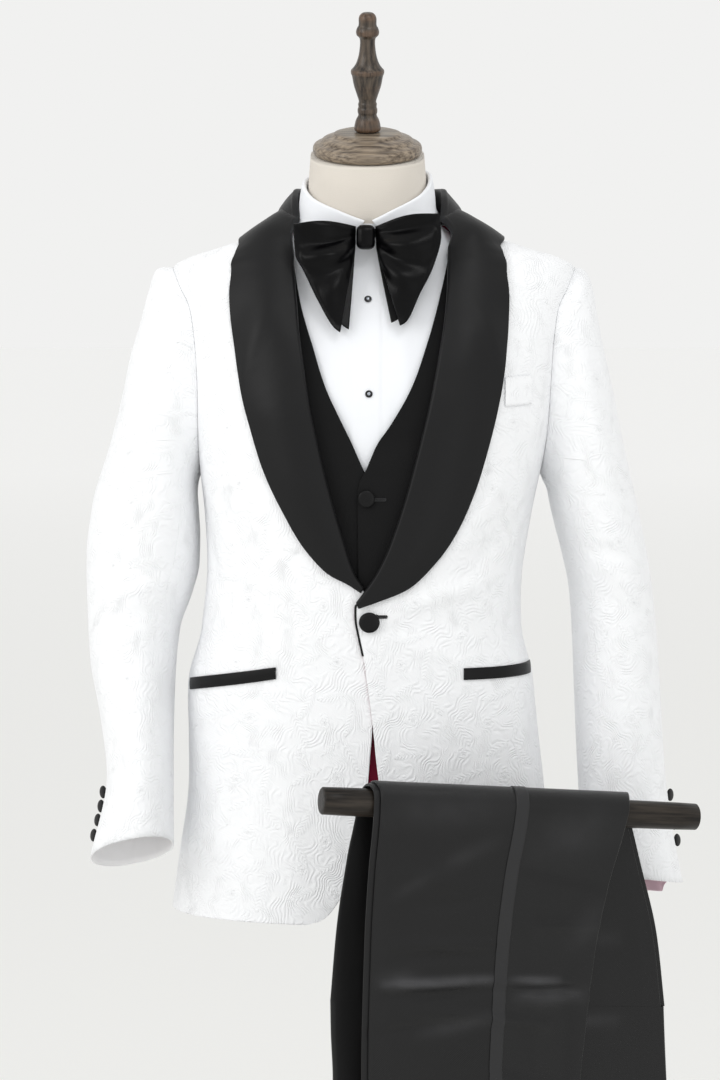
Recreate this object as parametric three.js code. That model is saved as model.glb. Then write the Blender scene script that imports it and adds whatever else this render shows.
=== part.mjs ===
// A tuxedo on a limbless dress form: white jacquard jacket with a satin shawl collar,
// black waistcoat, dress shirt, velvet bow tie, and trousers folded over a bar.
// Millimetres, +Z up, the front faces -Y. The origin is on the floor, under the pole.
// Left and right are the wearer's, so the left side is +X.
import * as THREE from "three";
import { mergeVertices } from "three/addons/utils/BufferGeometryUtils.js";

const SEAM = 0.3; // gap between two pieces that are sewn together
const JACKET_CLOTH = 2; // shell, canvas and lining together
const COLLAR_CLOTH = 2.2;
const SHIRT_CLOTH = 1.2;
const WAISTCOAT_CLOTH = 1.4;
const TROUSER_CLOTH = 1;
const TRIM_CLOTH = 1.2;
const SECTION_POWER = 2.5; // 2 is an ellipse; a worn chest is a little squarer

// The dress form, hip to neck: half width, front and back depth, centre, and how much
// the section tips forward.
const FORM = [
  { z: 1012, width: 151, front: 99, back: 92, x: -3, y: 0, tip: 0 },
  { z: 1050, width: 147, front: 99, back: 87, x: -3, y: 0, tip: 0 },
  { z: 1090, width: 144, front: 100, back: 83, x: -3, y: 0, tip: 0 },
  { z: 1150, width: 145, front: 104, back: 83, x: -2, y: 0, tip: 0 },
  { z: 1210, width: 152, front: 109, back: 88, x: -1, y: 0, tip: 0 },
  { z: 1265, width: 161, front: 112, back: 95, x: 0, y: 0, tip: 0 },
  { z: 1320, width: 167, front: 111, back: 101, x: 1, y: 0, tip: 0 },
  { z: 1370, width: 172, front: 104, back: 104, x: 2, y: 0, tip: 0 },
  { z: 1410, width: 176, front: 93, back: 103, x: 2, y: 0, tip: 0 },
  { z: 1440, width: 177, front: 80, back: 98, x: 2, y: 0, tip: 0 },
  { z: 1460, width: 174, front: 69, back: 90, x: 2, y: 0, tip: 0 },
  { z: 1474, width: 160, front: 62, back: 82, x: 2, y: 0, tip: 0 },
  { z: 1490, width: 135, front: 57, back: 74, x: 1, y: 0, tip: 0 },
  { z: 1505, width: 106, front: 55, back: 66, x: 0, y: 0, tip: 0 },
  { z: 1520, width: 82, front: 57, back: 61, x: -1, y: -2, tip: 0.04 },
  { z: 1534, width: 69, front: 58, back: 58, x: -2, y: -4, tip: 0.09 },
  { z: 1550, width: 64.5, front: 59, back: 57, x: -3, y: -6, tip: 0.15 },
  { z: 1576, width: 63, front: 59, back: 57, x: -3, y: -9, tip: 0.24 },
  { z: 1602, width: 61, front: 58, back: 57, x: -3, y: -12, tip: 0.29 },
];

// The jacket's outer face, hem to collar stand. Turn is degrees about the vertical.
const JACKET = [
  { z: 784, width: 211, front: 119, back: 124, x: -6, y: 0, turn: -4 },
  { z: 850, width: 203, front: 118, back: 124, x: -5, y: 0, turn: -4 },
  { z: 912, width: 195, front: 117, back: 122, x: -4, y: 0, turn: -4 },
  { z: 975, width: 191, front: 116, back: 117, x: -7, y: 0, turn: -4 },
  { z: 1035, width: 188, front: 116, back: 110, x: -10, y: 0, turn: -4 },
  { z: 1094, width: 174, front: 118, back: 102, x: -9, y: 0, turn: -3 },
  { z: 1150, width: 171, front: 121, back: 101, x: -6, y: 0, turn: -2 },
  { z: 1200, width: 175, front: 125, back: 105, x: -3, y: 0, turn: -1 },
  { z: 1262, width: 184, front: 129, back: 113, x: 0, y: 0, turn: 0 },
  { z: 1319, width: 194, front: 128, back: 119, x: 3, y: 0, turn: 0 },
  { z: 1370, width: 200, front: 121, back: 122, x: 4, y: 0, turn: 0 },
  { z: 1405, width: 204, front: 112, back: 122, x: 4, y: 0, turn: 0 },
  { z: 1440, width: 210, front: 98, back: 117, x: 4, y: 2, turn: 0 },
  { z: 1465, width: 217, front: 87, back: 109, x: 4, y: 4, turn: 0 },
  { z: 1482, width: 217, front: 79, back: 100, x: 4, y: 5, turn: 0 },
  { z: 1493, width: 200, front: 73, back: 93, x: 4, y: 5, turn: 0 },
  { z: 1503, width: 168, front: 69, back: 87, x: 3, y: 4, turn: 0 },
  { z: 1513, width: 137, front: 67, back: 82, x: 3, y: 3, turn: 0 },
  { z: 1523, width: 105, front: 66, back: 78, x: 1, y: 2, turn: 0 },
  { z: 1533, width: 84, front: 66, back: 76, x: -0.5, y: 1, turn: 0 },
  { z: 1550, width: 79.5, front: 68, back: 74, x: -0.5, y: 0, turn: 0 },
  { z: 1572, width: 78, front: 69, back: 73, x: 0, y: 0, turn: 0 },
];

// The armhole as seen from the side.
const ARMHOLE = { y: 10, z: 1373, halfDepth: 64, halfHeight: 110, gap: 1.8 };

// One row of sleeve: the ring's under-arm point and outer point as seen from the front,
// its centre and half depth front to back, and how much its front edge is raised.
const SLEEVE_LEFT = [
  { inX: 188, inZ: 1263, outX: 221, outZ: 1483, y: 10, depth: 64, raise: 0 },
  { inX: 190, inZ: 1257, outX: 232, outZ: 1478, y: 10, depth: 67, raise: 0 },
  { inX: 191, inZ: 1251, outX: 240, outZ: 1462, y: 11, depth: 70, raise: 0 },
  { inX: 193, inZ: 1244, outX: 246, outZ: 1432, y: 12, depth: 74, raise: 0 },
  { inX: 195, inZ: 1234, outX: 254, outZ: 1394, y: 14, depth: 78, raise: 0 },
  { inX: 198, inZ: 1220, outX: 265, outZ: 1348, y: 16, depth: 81, raise: 0 },
  { inX: 203, inZ: 1200, outX: 279, outZ: 1284, y: 18, depth: 81, raise: 0 },
  { inX: 211, inZ: 1170, outX: 296, outZ: 1210, y: 19, depth: 79, raise: 0.02 },
  { inX: 219, inZ: 1130, outX: 308, outZ: 1140, y: 19, depth: 76, raise: 0.04 },
  { inX: 222, inZ: 1085, outX: 314, outZ: 1080, y: 16, depth: 73, raise: 0.07 },
  { inX: 224, inZ: 1025, outX: 318, outZ: 1015, y: 9, depth: 69, raise: 0.1 },
  { inX: 226, inZ: 965, outX: 321, outZ: 953, y: 0, depth: 65, raise: 0.12 },
  { inX: 229, inZ: 900, outX: 327, outZ: 890, y: -9, depth: 61, raise: 0.13 },
  { inX: 232, inZ: 828, outX: 341, outZ: 815, y: -19, depth: 57, raise: 0.14 },
];
const SLEEVE_RIGHT = [
  { inX: 188, inZ: 1263, outX: 221, outZ: 1483, y: 10, depth: 64, raise: 0 },
  { inX: 189, inZ: 1257, outX: 236, outZ: 1480, y: 10, depth: 67, raise: 0 },
  { inX: 189.5, inZ: 1250, outX: 244, outZ: 1455, y: 10, depth: 70, raise: 0 },
  { inX: 189, inZ: 1240, outX: 251, outZ: 1421, y: 10, depth: 74, raise: 0 },
  { inX: 188, inZ: 1228, outX: 260, outZ: 1387, y: 11, depth: 78, raise: 0 },
  { inX: 187, inZ: 1212, outX: 270, outZ: 1342, y: 12, depth: 81, raise: 0 },
  { inX: 186, inZ: 1190, outX: 285, outZ: 1288, y: 14, depth: 82, raise: 0 },
  { inX: 187, inZ: 1160, outX: 304, outZ: 1226, y: 15, depth: 80, raise: 0.03 },
  { inX: 195, inZ: 1128, outX: 310, outZ: 1170, y: 13, depth: 77, raise: 0.08 },
  { inX: 208, inZ: 1090, outX: 308, outZ: 1110, y: 6, depth: 73, raise: 0.15 },
  { inX: 212, inZ: 1045, outX: 304, outZ: 1055, y: -8, depth: 69, raise: 0.22 },
  { inX: 213, inZ: 990, outX: 292, outZ: 997, y: -28, depth: 65, raise: 0.3 },
  { inX: 212, inZ: 930, outX: 283, outZ: 930, y: -52, depth: 61, raise: 0.37 },
  { inX: 210, inZ: 868, outX: 299, outZ: 850, y: -78, depth: 57, raise: 0.42 },
];
// Where the two sleeve pieces are sewn together: degrees round the sleeve, 0 outermost.
const SLEEVE_SEAMS = [
  { at: 0, front: -128, back: 112 },
  { at: 5, front: -128, back: 98 },
  { at: 9, front: -124, back: 62 },
  { at: 13, front: -120, back: 24 },
];
const SLEEVE_CLOTH = 1.6;
const SLEEVE_ROWS = [0, 0.8, 1.7, 2.8, 4, 5, 6, 7, 8, 9, 10.5, 12, 13];

// Front edges and hem, as seen from the front: how far the edge stands from the centre.
const FRONT_EDGE_LEFT = [
  { z: 787, x: 84 },
  { z: 791, x: 68 },
  { z: 800, x: 55 },
  { z: 820, x: 41 },
  { z: 855, x: 26 },
  { z: 900, x: 15 },
  { z: 950, x: 8 },
  { z: 1015, x: 1 },
  { z: 1060, x: -5 },
  { z: 1095, x: -12 },
  { z: 1112, x: -15 },
  { z: 1127, x: -15 },
];
const FRONT_EDGE_RIGHT = [
  { z: 787, x: -69 },
  { z: 791, x: -54 },
  { z: 800, x: -43 },
  { z: 820, x: -30 },
  { z: 855, x: -16 },
  { z: 900, x: -8 },
  { z: 950, x: -2 },
  { z: 1015, x: 3 },
  { z: 1060, x: 9 },
  { z: 1095, x: 14 },
  { z: 1112, x: 15 },
  { z: 1131, x: 6 },
];

// The shawl collar, break point to centre back: roll line and outer edge as x or degrees
// round the jacket with heights, how far it bulges, how far it turns under, and the
// radius it rolls over.
const SHAWL_LEFT = [
  { rollX: -15, rollZ: 1131, edgeX: -12, edgeZ: 1125, bulge: 0, under: 1.5, radius: 3 },
  { rollX: -6, rollZ: 1143, edgeX: 8, edgeZ: 1132, bulge: 0.5, under: 3, radius: 3.4 },
  { rollX: 4, rollZ: 1158, edgeX: 39, edgeZ: 1145, bulge: 1.5, under: 4, radius: 4 },
  { rollX: 16, rollZ: 1182, edgeX: 68, edgeZ: 1173, bulge: 3, under: 5, radius: 4.4 },
  { rollX: 27, rollZ: 1212, edgeX: 91, edgeZ: 1208, bulge: 4, under: 5, radius: 4.4 },
  { rollX: 42, rollZ: 1262, edgeX: 113, edgeZ: 1262, bulge: 5, under: 5, radius: 4.4 },
  { rollX: 58, rollZ: 1325, edgeX: 131, edgeZ: 1330, bulge: 5, under: 5, radius: 4.4 },
  { rollX: 71, rollZ: 1390, edgeX: 141, edgeZ: 1392, bulge: 5, under: 5, radius: 4.4 },
  { rollX: 79, rollZ: 1446, edgeX: 145, edgeZ: 1440, bulge: 5, under: 5, radius: 4.4 },
  { rollX: 81, rollZ: 1490, edgeX: 143, edgeZ: 1478, bulge: 6, under: 7, radius: 4.4 },
  { rollX: 78, rollZ: 1528, edgeX: 137, edgeZ: 1502, bulge: 9, under: 12, radius: 4.4 },
];
const SHAWL_RIGHT = [
  { rollX: -15, rollZ: 1156, edgeX: -19, edgeZ: 1149, bulge: 0, under: 2, radius: 3.6 },
  { rollX: -20, rollZ: 1170, edgeX: -43, edgeZ: 1160, bulge: 1.5, under: 4, radius: 4 },
  { rollX: -28, rollZ: 1196, edgeX: -69, edgeZ: 1188, bulge: 3, under: 5, radius: 4.4 },
  { rollX: -38, rollZ: 1230, edgeX: -91, edgeZ: 1226, bulge: 4, under: 5, radius: 4.4 },
  { rollX: -49, rollZ: 1272, edgeX: -112, edgeZ: 1272, bulge: 5, under: 5, radius: 4.4 },
  { rollX: -61, rollZ: 1325, edgeX: -129, edgeZ: 1330, bulge: 5, under: 5, radius: 4.4 },
  { rollX: -71, rollZ: 1390, edgeX: -141, edgeZ: 1392, bulge: 5, under: 5, radius: 4.4 },
  { rollX: -77, rollZ: 1446, edgeX: -147, edgeZ: 1440, bulge: 5, under: 5, radius: 4.4 },
  { rollX: -80, rollZ: 1490, edgeX: -146, edgeZ: 1478, bulge: 6, under: 7, radius: 4.4 },
  { rollX: -78, rollZ: 1528, edgeX: -139, edgeZ: 1502, bulge: 9, under: 12, radius: 4.4 },
];
const SHAWL_NECK = [
  { roll: 86, rollZ: 1560, edge: 90, edgeZ: 1514, bulge: 13, under: 26, radius: 3.6 },
  { roll: 104, rollZ: 1568, edge: 108, edgeZ: 1514, bulge: 14, under: 32, radius: 3.6 },
  { roll: 128, rollZ: 1569, edge: 128, edgeZ: 1508, bulge: 14, under: 33, radius: 3.6 },
  { roll: 154, rollZ: 1568, edge: 154, edgeZ: 1499, bulge: 13, under: 34, radius: 3.6 },
  { roll: 180, rollZ: 1567, edge: 180, edgeZ: 1495, bulge: 12, under: 34, radius: 3.6 },
];
const SHAWL_STEPS = [0, 0.5, 1, 2, 3, 4, 5, 6, 7, 8, 9, 9.5, 10, 10.5, 11, 11.5, 12, 13, 14, 15];
const COLLAR_LIFT = 4.6; // the outer edge's face above the cloth under it
const COLLAR_SEAM = 2.2; // from the panel's edge to the collar's, under the roll
const LAP_LIFT = 3.4; // the left front lies over the right one
const LAP_FADE = 34; // degrees over which that lift dies away

const FORM_INSET = 3.5; // the padded torso stands clear of the shirt

// Waistcoat and shirt: lift off the form, the V of the waistcoat, and the side edges
// with their armholes in degrees.
const WAISTCOAT_LIFT = 10.5;
const WAISTCOAT_BACK_LIFT = 11.9;
const WAISTCOAT_LAP = 2.8;
const WAISTCOAT_FADE = 44;
const WAISTCOAT_V = [
  { z: 1042, left: 2, right: -7 },
  { z: 1054, left: -12, right: 3 },
  { z: 1244, left: -13, right: 3 },
  { z: 1256, left: -11, right: -1 },
  { z: 1270, left: -4, right: -8 },
  { z: 1295, left: 7, right: -19 },
  { z: 1314, left: 20, right: -28 },
  { z: 1352, left: 42, right: -46 },
  { z: 1393, left: 57, right: -59 },
  { z: 1440, left: 71, right: -73 },
  { z: 1475, left: 79, right: -79 },
  { z: 1500, left: 82, right: -81 },
  { z: 1512, left: 82, right: -81 },
];
const WAISTCOAT_SIDE = [
  { z: 1042, front: 90, back: 90 },
  { z: 1244, front: 90, back: 90 },
  { z: 1268, front: 83, back: 98 },
  { z: 1310, front: 72, back: 110 },
  { z: 1360, front: 65, back: 117 },
  { z: 1410, front: 61, back: 121 },
  { z: 1455, front: 60, back: 121 },
  { z: 1482, front: 66, back: 114 },
  { z: 1500, front: 77, back: 103 },
  { z: 1512, front: 90, back: 90 },
];
const SHIRT_LIFT = [
  { z: 1460, lift: 5 },
  { z: 1494, lift: 3.4 },
  { z: 1516, lift: 3 },
];
const SHIRT_SIDE = [
  { z: 1024, front: 90, back: 90 },
  { z: 1285, front: 90, back: 90 },
  { z: 1306, front: 82, back: 98 },
  { z: 1350, front: 74, back: 106 },
  { z: 1400, front: 70, back: 110 },
  { z: 1440, front: 71, back: 109 },
  { z: 1462, front: 80, back: 100 },
  { z: 1474, front: 90, back: 90 },
  { z: 1516, front: 90, back: 90 },
];

// The shirt collar, centre front to centre back: fold and edge in degrees round the
// neck, and heights.
const SHIRT_COLLAR = [
  { roll: 4, rollZ: 1537, edge: 24, edgeZ: 1500, under: 4, bulge: 0 },
  { roll: 12, rollZ: 1541, edge: 33, edgeZ: 1504, under: 7, bulge: 1 },
  { roll: 27, rollZ: 1549, edge: 46, edgeZ: 1513, under: 13, bulge: 1.5 },
  { roll: 50, rollZ: 1560, edge: 62, edgeZ: 1522, under: 25, bulge: 2 },
  { roll: 76, rollZ: 1570, edge: 80, edgeZ: 1530, under: 38, bulge: 2 },
  { roll: 108, rollZ: 1574, edge: 108, edgeZ: 1534, under: 42, bulge: 2 },
  { roll: 145, rollZ: 1575, edge: 145, edgeZ: 1536, under: 43, bulge: 2 },
  { roll: 180, rollZ: 1575, edge: 180, edgeZ: 1537, under: 43, bulge: 2 },
];
const SHIRT_COLLAR_ROLL = { base: 2.1, radius: 2.5, cloth: 1.1, lift: 7 };
const SHIRT_COLLAR_ROWS = 13;
const COLLAR_RISE_LEFT = 7; // the left leaf stands a little higher on the neck
const TIE_BAND = { reach: 17, below: 17, halfHeight: 5, lift: 5.7, cloth: 0.9 };

const BUTTONS = {
  front_button: { degrees: 6.2, z: 1110, radius: 11, height: 6 },
  waistcoat_button: { degrees: -2, z: 1240, radius: 9, height: 4 },
};
const STUDS = {
  stud_upper: { degrees: -3.4, z: 1444 },
  stud_lower: { degrees: -1.8, z: 1347 },
};
const STUD = { radius: 3.8, height: 2.4 };
// Cuff buttons stand off on their shanks and lean, so that their faces look forward.
const CUFF_BUTTON = { radius: 7, height: 3.6, degrees: 8, lean: 40, lift: 3.6 };
const CUFF_BUTTON_ROWS = { left: [12.44, 12.2, 11.97, 11.74], right: [12.68, 12.49, 12.31, 12.12] };

// Pocket welts: ends of the centre line, half height, and how far the face stands off.
const WELTS = {
  hip_welt_left: { side: 1, from: [98, 1053.5], to: [171, 1053], half: 6, look: "satin" },
  hip_welt_right: { side: -1, from: [-99.5, 1054], to: [-193, 1034], half: 6, look: "satin" },
  breast_welt: { side: 1, from: [140, 1350], to: [169, 1352], half: 15, look: "jacquard" },
};
const WELT_LIFT = 2;
const WELT_GAP = 0.5;
const BUTTON_GAP = 0.5;

// Bow tie: the outer contour of one wing, top corner to tip, front leaf.
const WING_LEFT = [
  { at: 0, x: 71, y: -94, z: 1536 },
  { at: 0.22, x: 73, y: -97, z: 1512 },
  { at: 0.42, x: 66, y: -101, z: 1484 },
  { at: 0.7, x: 50, y: -107, z: 1451 },
  { at: 0.92, x: 37, y: -112, z: 1424 },
  { at: 1, x: 31, y: -113, z: 1420 },
];
const WING_RIGHT = [
  { at: 0, x: -80, y: -94, z: 1525 },
  { at: 0.22, x: -78, y: -97, z: 1494 },
  { at: 0.42, x: -70, y: -101, z: 1478 },
  { at: 0.7, x: -54, y: -107, z: 1445 },
  { at: 0.92, x: -38, y: -112, z: 1418 },
  { at: 1, x: -32, y: -113, z: 1413 },
];
const KNOT = { x: -5, y: -76.6, z: 1512, width: 21, height: 26, depth: 22.2 };
const WING = { cloth: 2, belly: 9, knotHalf: 11, backY: 7, backTip: 9, backTop: 3 };

// The bar, left end to right end as seen from the front, and the trousers over it.
const BAR = { from: [-50, -262, 945.5], to: [341, -132, 906], radius: 14.6 };
const LEG_THICKNESS = 2.8; // two walls and the air between them
const FIRST_LEG = 16.6; // face of the leg next to the bar, from the bar's centre line
const LEG_GAP = 0.4;
// Along the drape 0 is the top of the bar, minus is in front, plus is behind. From and
// to are distances along the bar; the side seam and its stripe lie at a share of them.
const LEG = [
  { at: -572, from: 50, to: 250, stripe: 0.605 },
  { at: -300, from: 43, to: 275, stripe: 0.59 },
  { at: -165, from: 46, to: 291, stripe: 0.58 },
  { at: -100, from: 50, to: 306, stripe: 0.57 },
  { at: -28, from: 56, to: 327, stripe: 0.562 },
  { at: -17, from: 56, to: 329, stripe: 0.56 },
  { at: -6, from: 55, to: 332, stripe: 0.56 },
  { at: 6, from: 54, to: 336, stripe: 0.56 },
  { at: 17, from: 53, to: 340, stripe: 0.56 },
  { at: 28, from: 52, to: 344, stripe: 0.56 },
  { at: 90, from: 40, to: 361, stripe: 0.56 },
  { at: 160, from: 29, to: 379, stripe: 0.56 },
  { at: 238, from: 20, to: 390, stripe: 0.56 },
];
const SEAT = [
  { at: 238.4, from: 20, to: 390, stripe: 0.56 },
  { at: 300, from: 20, to: 391, stripe: 0.56 },
  { at: 380, from: 18, to: 396, stripe: 0.56 },
  { at: 470, from: 6, to: 404, stripe: 0.56 },
];
const WAISTBAND = [
  { at: 470.4, from: 5.6, to: 404.4, stripe: 0.56 },
  { at: 506, from: 4, to: 406, stripe: 0.56 },
];
const UNDER_LEG_SHIFT = -6; // the leg beneath shows past the crease of the upper one
const STRIPE = { half: 7, lift: 0.9, cloth: 0.6 };

// Dress form fittings.
const NECK_CAP = [
  { h: 0, r: 56.5 },
  { h: 3, r: 58.6 },
  { h: 9, r: 58.6 },
  { h: 12.5, r: 56.5 },
  { h: 14, r: 51 },
  { h: 18, r: 48 },
  { h: 20, r: 42.5 },
  { h: 21, r: 38 },
  { h: 25, r: 34.5 },
];
const FINIAL = [
  { h: 0, r: 15 },
  { h: 12, r: 13 },
  { h: 18, r: 9.5 },
  { h: 21, r: 10.6 },
  { h: 24.5, r: 10.6 },
  { h: 26.5, r: 9.6 },
  { h: 30, r: 10.2 },
  { h: 32.5, r: 8.9 },
  { h: 41, r: 11.8 },
  { h: 50, r: 14.8 },
  { h: 60, r: 16.5 },
  { h: 62.5, r: 17.8 },
  { h: 66, r: 17.8 },
  { h: 68, r: 15.5 },
  { h: 73, r: 12 },
  { h: 82, r: 9.2 },
  { h: 94, r: 7.8 },
  { h: 100, r: 8.3 },
  { h: 103, r: 12 },
  { h: 107, r: 12.4 },
  { h: 111, r: 11 },
  { h: 113, r: 9.3 },
  { h: 122, r: 9.6 },
  { h: 126.5, r: 6 },
];
const NECK_TIP = Math.atan(0.29);
const SEAT_GAP = 0.3; // between two rigid parts that rest on each other
const POLE_RADIUS = 13;
const BASE = [
  { h: 0, r: 186 },
  { h: 4, r: 190 },
  { h: 18, r: 190 },
  { h: 25, r: 180 },
  { h: 28, r: 60 },
  { h: 40, r: 24 },
];
const CLAMP = { z: 350, height: 44, radius: 24 };
const ARM_RADIUS = 8;
const POST_RADIUS = 8;
const POST_AT = 0.46; // share of the bar's length

const MATERIALS = {
  jacquard: { color: 0xf4f4f6, roughness: 0.62, metalness: 0 },
  satin: { color: 0x1c1c1d, roughness: 0.38, metalness: 0 },
  waistcoat_cloth: { color: 0x18181a, roughness: 0.5, metalness: 0 },
  shirt_cotton: { color: 0xf7f8fb, roughness: 0.8, metalness: 0 },
  velvet: { color: 0x08080a, roughness: 0.9, metalness: 0 },
  trouser_wool: { color: 0x202021, roughness: 0.7, metalness: 0 },
  linen: { color: 0xe4ddd3, roughness: 0.9, metalness: 0 },
  dark_wood: { color: 0x4a423b, roughness: 0.5, metalness: 0 },
  black_metal: { color: 0x1d1d1f, roughness: 0.4, metalness: 0.8 },
  stud: { color: 0x1b1c20, roughness: 0.25, metalness: 0.2 },
};
const material = Object.fromEntries(
  Object.entries(MATERIALS).map(([name, look]) => [name, new THREE.MeshStandardMaterial(look)]),
);

const root = new THREE.Group();
const radians = THREE.MathUtils.degToRad;
const mix = THREE.MathUtils.lerp;
const smooth = (t) => THREE.MathUtils.smoothstep(t, 0, 1);

function add(name, geometry, look) {
  const mesh = new THREE.Mesh(geometry, material[look]);
  mesh.name = name;
  root.add(mesh);
  return mesh;
}

// Reads one column of a table smoothly, without overshooting its rows.
function read(table, key, at, by = "z") {
  const rising = table[0][by] < table[table.length - 1][by];
  const rows = rising ? table : [...table].reverse();
  const last = rows.length - 1;
  if (at <= rows[0][by]) return rows[0][key];
  if (at >= rows[last][by]) return rows[last][key];
  const slope = (i) => (rows[i + 1][key] - rows[i][key]) / (rows[i + 1][by] - rows[i][by]);
  const tangent = (i) => {
    if (i === 0 || i === last) return slope(Math.max(0, i - 1));
    const before = slope(i - 1);
    const after = slope(i);
    return before * after <= 0 ? 0 : (2 * before * after) / (before + after);
  };
  const i = rows.findIndex((row) => row[by] > at) - 1;
  const span = rows[i + 1][by] - rows[i][by];
  const t = (at - rows[i][by]) / span;
  const start = rows[i][key];
  const end = rows[i + 1][key];
  const a = tangent(i) * span;
  const b = tangent(i + 1) * span;
  return (
    start * (1 + 2 * t) * (1 - t) ** 2 +
    end * t * t * (3 - 2 * t) +
    a * t * (1 - t) ** 2 -
    b * t * t * (1 - t)
  );
}

// A point of a sectioned body: degrees round from the centre front, and a height.
function sectionPoint(table, degrees, z) {
  const angle = radians(degrees);
  const width = read(table, "width", z);
  const depth = read(table, Math.cos(angle) > 0 ? "front" : "back", z);
  const across = Math.abs(Math.sin(angle) / width) ** SECTION_POWER;
  const along = Math.abs(Math.cos(angle) / depth) ** SECTION_POWER;
  const reach = (across + along) ** (-1 / SECTION_POWER);
  const turn = radians(read(table, "turn" in table[0] ? "turn" : "tip", z));
  const spin = "turn" in table[0] ? turn : 0;
  const x = reach * Math.sin(angle);
  const y = -reach * Math.cos(angle);
  const tip = "tip" in table[0] ? read(table, "tip", z) : 0;
  return new THREE.Vector3(
    read(table, "x", z) + x * Math.cos(spin) - y * Math.sin(spin),
    read(table, "y", z) + x * Math.sin(spin) + y * Math.cos(spin),
    z + tip * y,
  );
}

// The outward normal of a surface given as a function of two numbers.
function normalOf(surface, u, v, du, dv, centre) {
  const alongU = surface(u + du, v).sub(surface(u - du, v));
  const alongV = surface(u, v + dv).sub(surface(u, v - dv));
  const normal = alongU.cross(alongV).normalize();
  return normal.dot(surface(u, v).sub(centre)) < 0 ? normal.negate() : normal;
}

function liftedPoint(table, degrees, z, lift) {
  const surface = (a, b) => sectionPoint(table, a, b);
  const centre = new THREE.Vector3(read(table, "x", z), read(table, "y", z), z - 60);
  const normal = normalOf(surface, degrees, z, 0.5, 0.8, centre);
  return surface(degrees, z).addScaledVector(normal, lift);
}

// Degrees round a sectioned body of the front point that stands at a given x.
function degreesAt(table, x, z) {
  let low = -90;
  let high = 90;
  for (let i = 0; i < 40; i++) {
    const middle = (low + high) / 2;
    if (sectionPoint(table, middle, z).x < x) low = middle;
    else high = middle;
  }
  return low;
}

// A closed wall of cloth. place(u, v, depth) gives a point at a depth under its face.
function wall(place, us, vs, thickness, closed = false) {
  const columns = us.length;
  const rows = vs.length;
  const points = [];
  for (const depth of [0, thickness])
    for (const v of vs) for (const u of us) points.push(place(u, v, depth));
  const index = [];
  const at = (layer, i, j) => layer * rows * columns + i * columns + (j % columns);
  const quad = (a, b, c, d) => index.push(a, b, c, a, c, d);
  const around = closed ? columns : columns - 1;
  for (let i = 0; i < rows - 1; i++)
    for (let j = 0; j < around; j++) {
      quad(at(0, i, j), at(0, i, j + 1), at(0, i + 1, j + 1), at(0, i + 1, j));
      quad(at(1, i, j), at(1, i + 1, j), at(1, i + 1, j + 1), at(1, i, j + 1));
    }
  for (let j = 0; j < around; j++) {
    quad(at(0, 0, j + 1), at(0, 0, j), at(1, 0, j), at(1, 0, j + 1));
    const end = rows - 1;
    quad(at(0, end, j), at(0, end, j + 1), at(1, end, j + 1), at(1, end, j));
  }
  if (!closed)
    for (let i = 0; i < rows - 1; i++) {
      const end = columns - 1;
      quad(at(0, i, 0), at(0, i + 1, 0), at(1, i + 1, 0), at(1, i, 0));
      quad(at(0, i + 1, end), at(0, i, end), at(1, i, end), at(1, i + 1, end));
    }
  return shell(points, index);
}

// A geometry from points and triangles, turned so that its faces point outwards.
function shell(points, index) {
  const position = new THREE.Float32BufferAttribute(points.flatMap((p) => p.toArray()), 3);
  let volume = 0;
  for (let i = 0; i < index.length; i += 3) {
    const [a, b, c] = [0, 1, 2].map((k) => points[index[i + k]]);
    volume += a.dot(b.clone().cross(c));
  }
  if (volume < 0)
    for (let i = 0; i < index.length; i += 3)
      [index[i + 1], index[i + 2]] = [index[i + 2], index[i + 1]];
  const geometry = new THREE.BufferGeometry().setAttribute("position", position);
  geometry.setIndex(index);
  return mergeVertices(geometry, 1e-4);
}

const steps = (from, to, count) =>
  Array.from({ length: count + 1 }, (_, i) => mix(from, to, i / count));

// Dress form: torso and neck in one body, closed top and bottom.
function formTorso() {
  const around = steps(0, 360, 24).slice(0, -1);
  const heights = FORM.map((row) => row.z);
  const inset = (z) => -FORM_INSET * (1 - smooth((z - 1490) / 30));
  const points = heights.flatMap((z) => around.map((angle) => formPoint(angle, z, inset(z))));
  const index = [];
  const n = around.length;
  for (let i = 0; i < heights.length - 1; i++)
    for (let j = 0; j < n; j++) {
      const [a, b] = [i * n + j, i * n + ((j + 1) % n)];
      index.push(a, b, b + n, a, b + n, a + n);
    }
  for (const row of [0, heights.length - 1]) {
    const z = heights[row];
    const middle = points.push(new THREE.Vector3(read(FORM, "x", z), read(FORM, "y", z), z)) - 1;
    for (let j = 0; j < n; j++) {
      const [a, b] = [row * n + j, row * n + ((j + 1) % n)];
      index.push(middle, row ? a : b, row ? b : a);
    }
  }
  return shell(points, index);
}

function turned(profile, sides) {
  const outline = [
    new THREE.Vector2(0, profile[0].h),
    ...profile.map((row) => new THREE.Vector2(row.r, row.h)),
    new THREE.Vector2(0, profile[profile.length - 1].h),
  ];
  return new THREE.LatheGeometry(outline, sides).rotateX(Math.PI / 2);
}

// Turns a geometry that stands along +Z to stand along a direction at a point.
function stand(geometry, point, direction) {
  const up = new THREE.Vector3(0, 0, 1);
  geometry.applyQuaternion(new THREE.Quaternion().setFromUnitVectors(up, direction));
  return geometry.translate(point.x, point.y, point.z);
}

function rod(from, to, radius, sides) {
  const length = from.distanceTo(to);
  const profile = [
    { h: 0, r: radius },
    { h: length, r: radius },
  ];
  return stand(turned(profile, sides), from, to.clone().sub(from).normalize());
}

// A covered button with a domed face.
function button(radius, height, sides) {
  const dome = [
    { h: 0, r: radius * 0.75 },
    { h: height * 0.5, r: radius },
    { h: height, r: radius * 0.6 },
  ];
  return turned(dome, sides);
}

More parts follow.
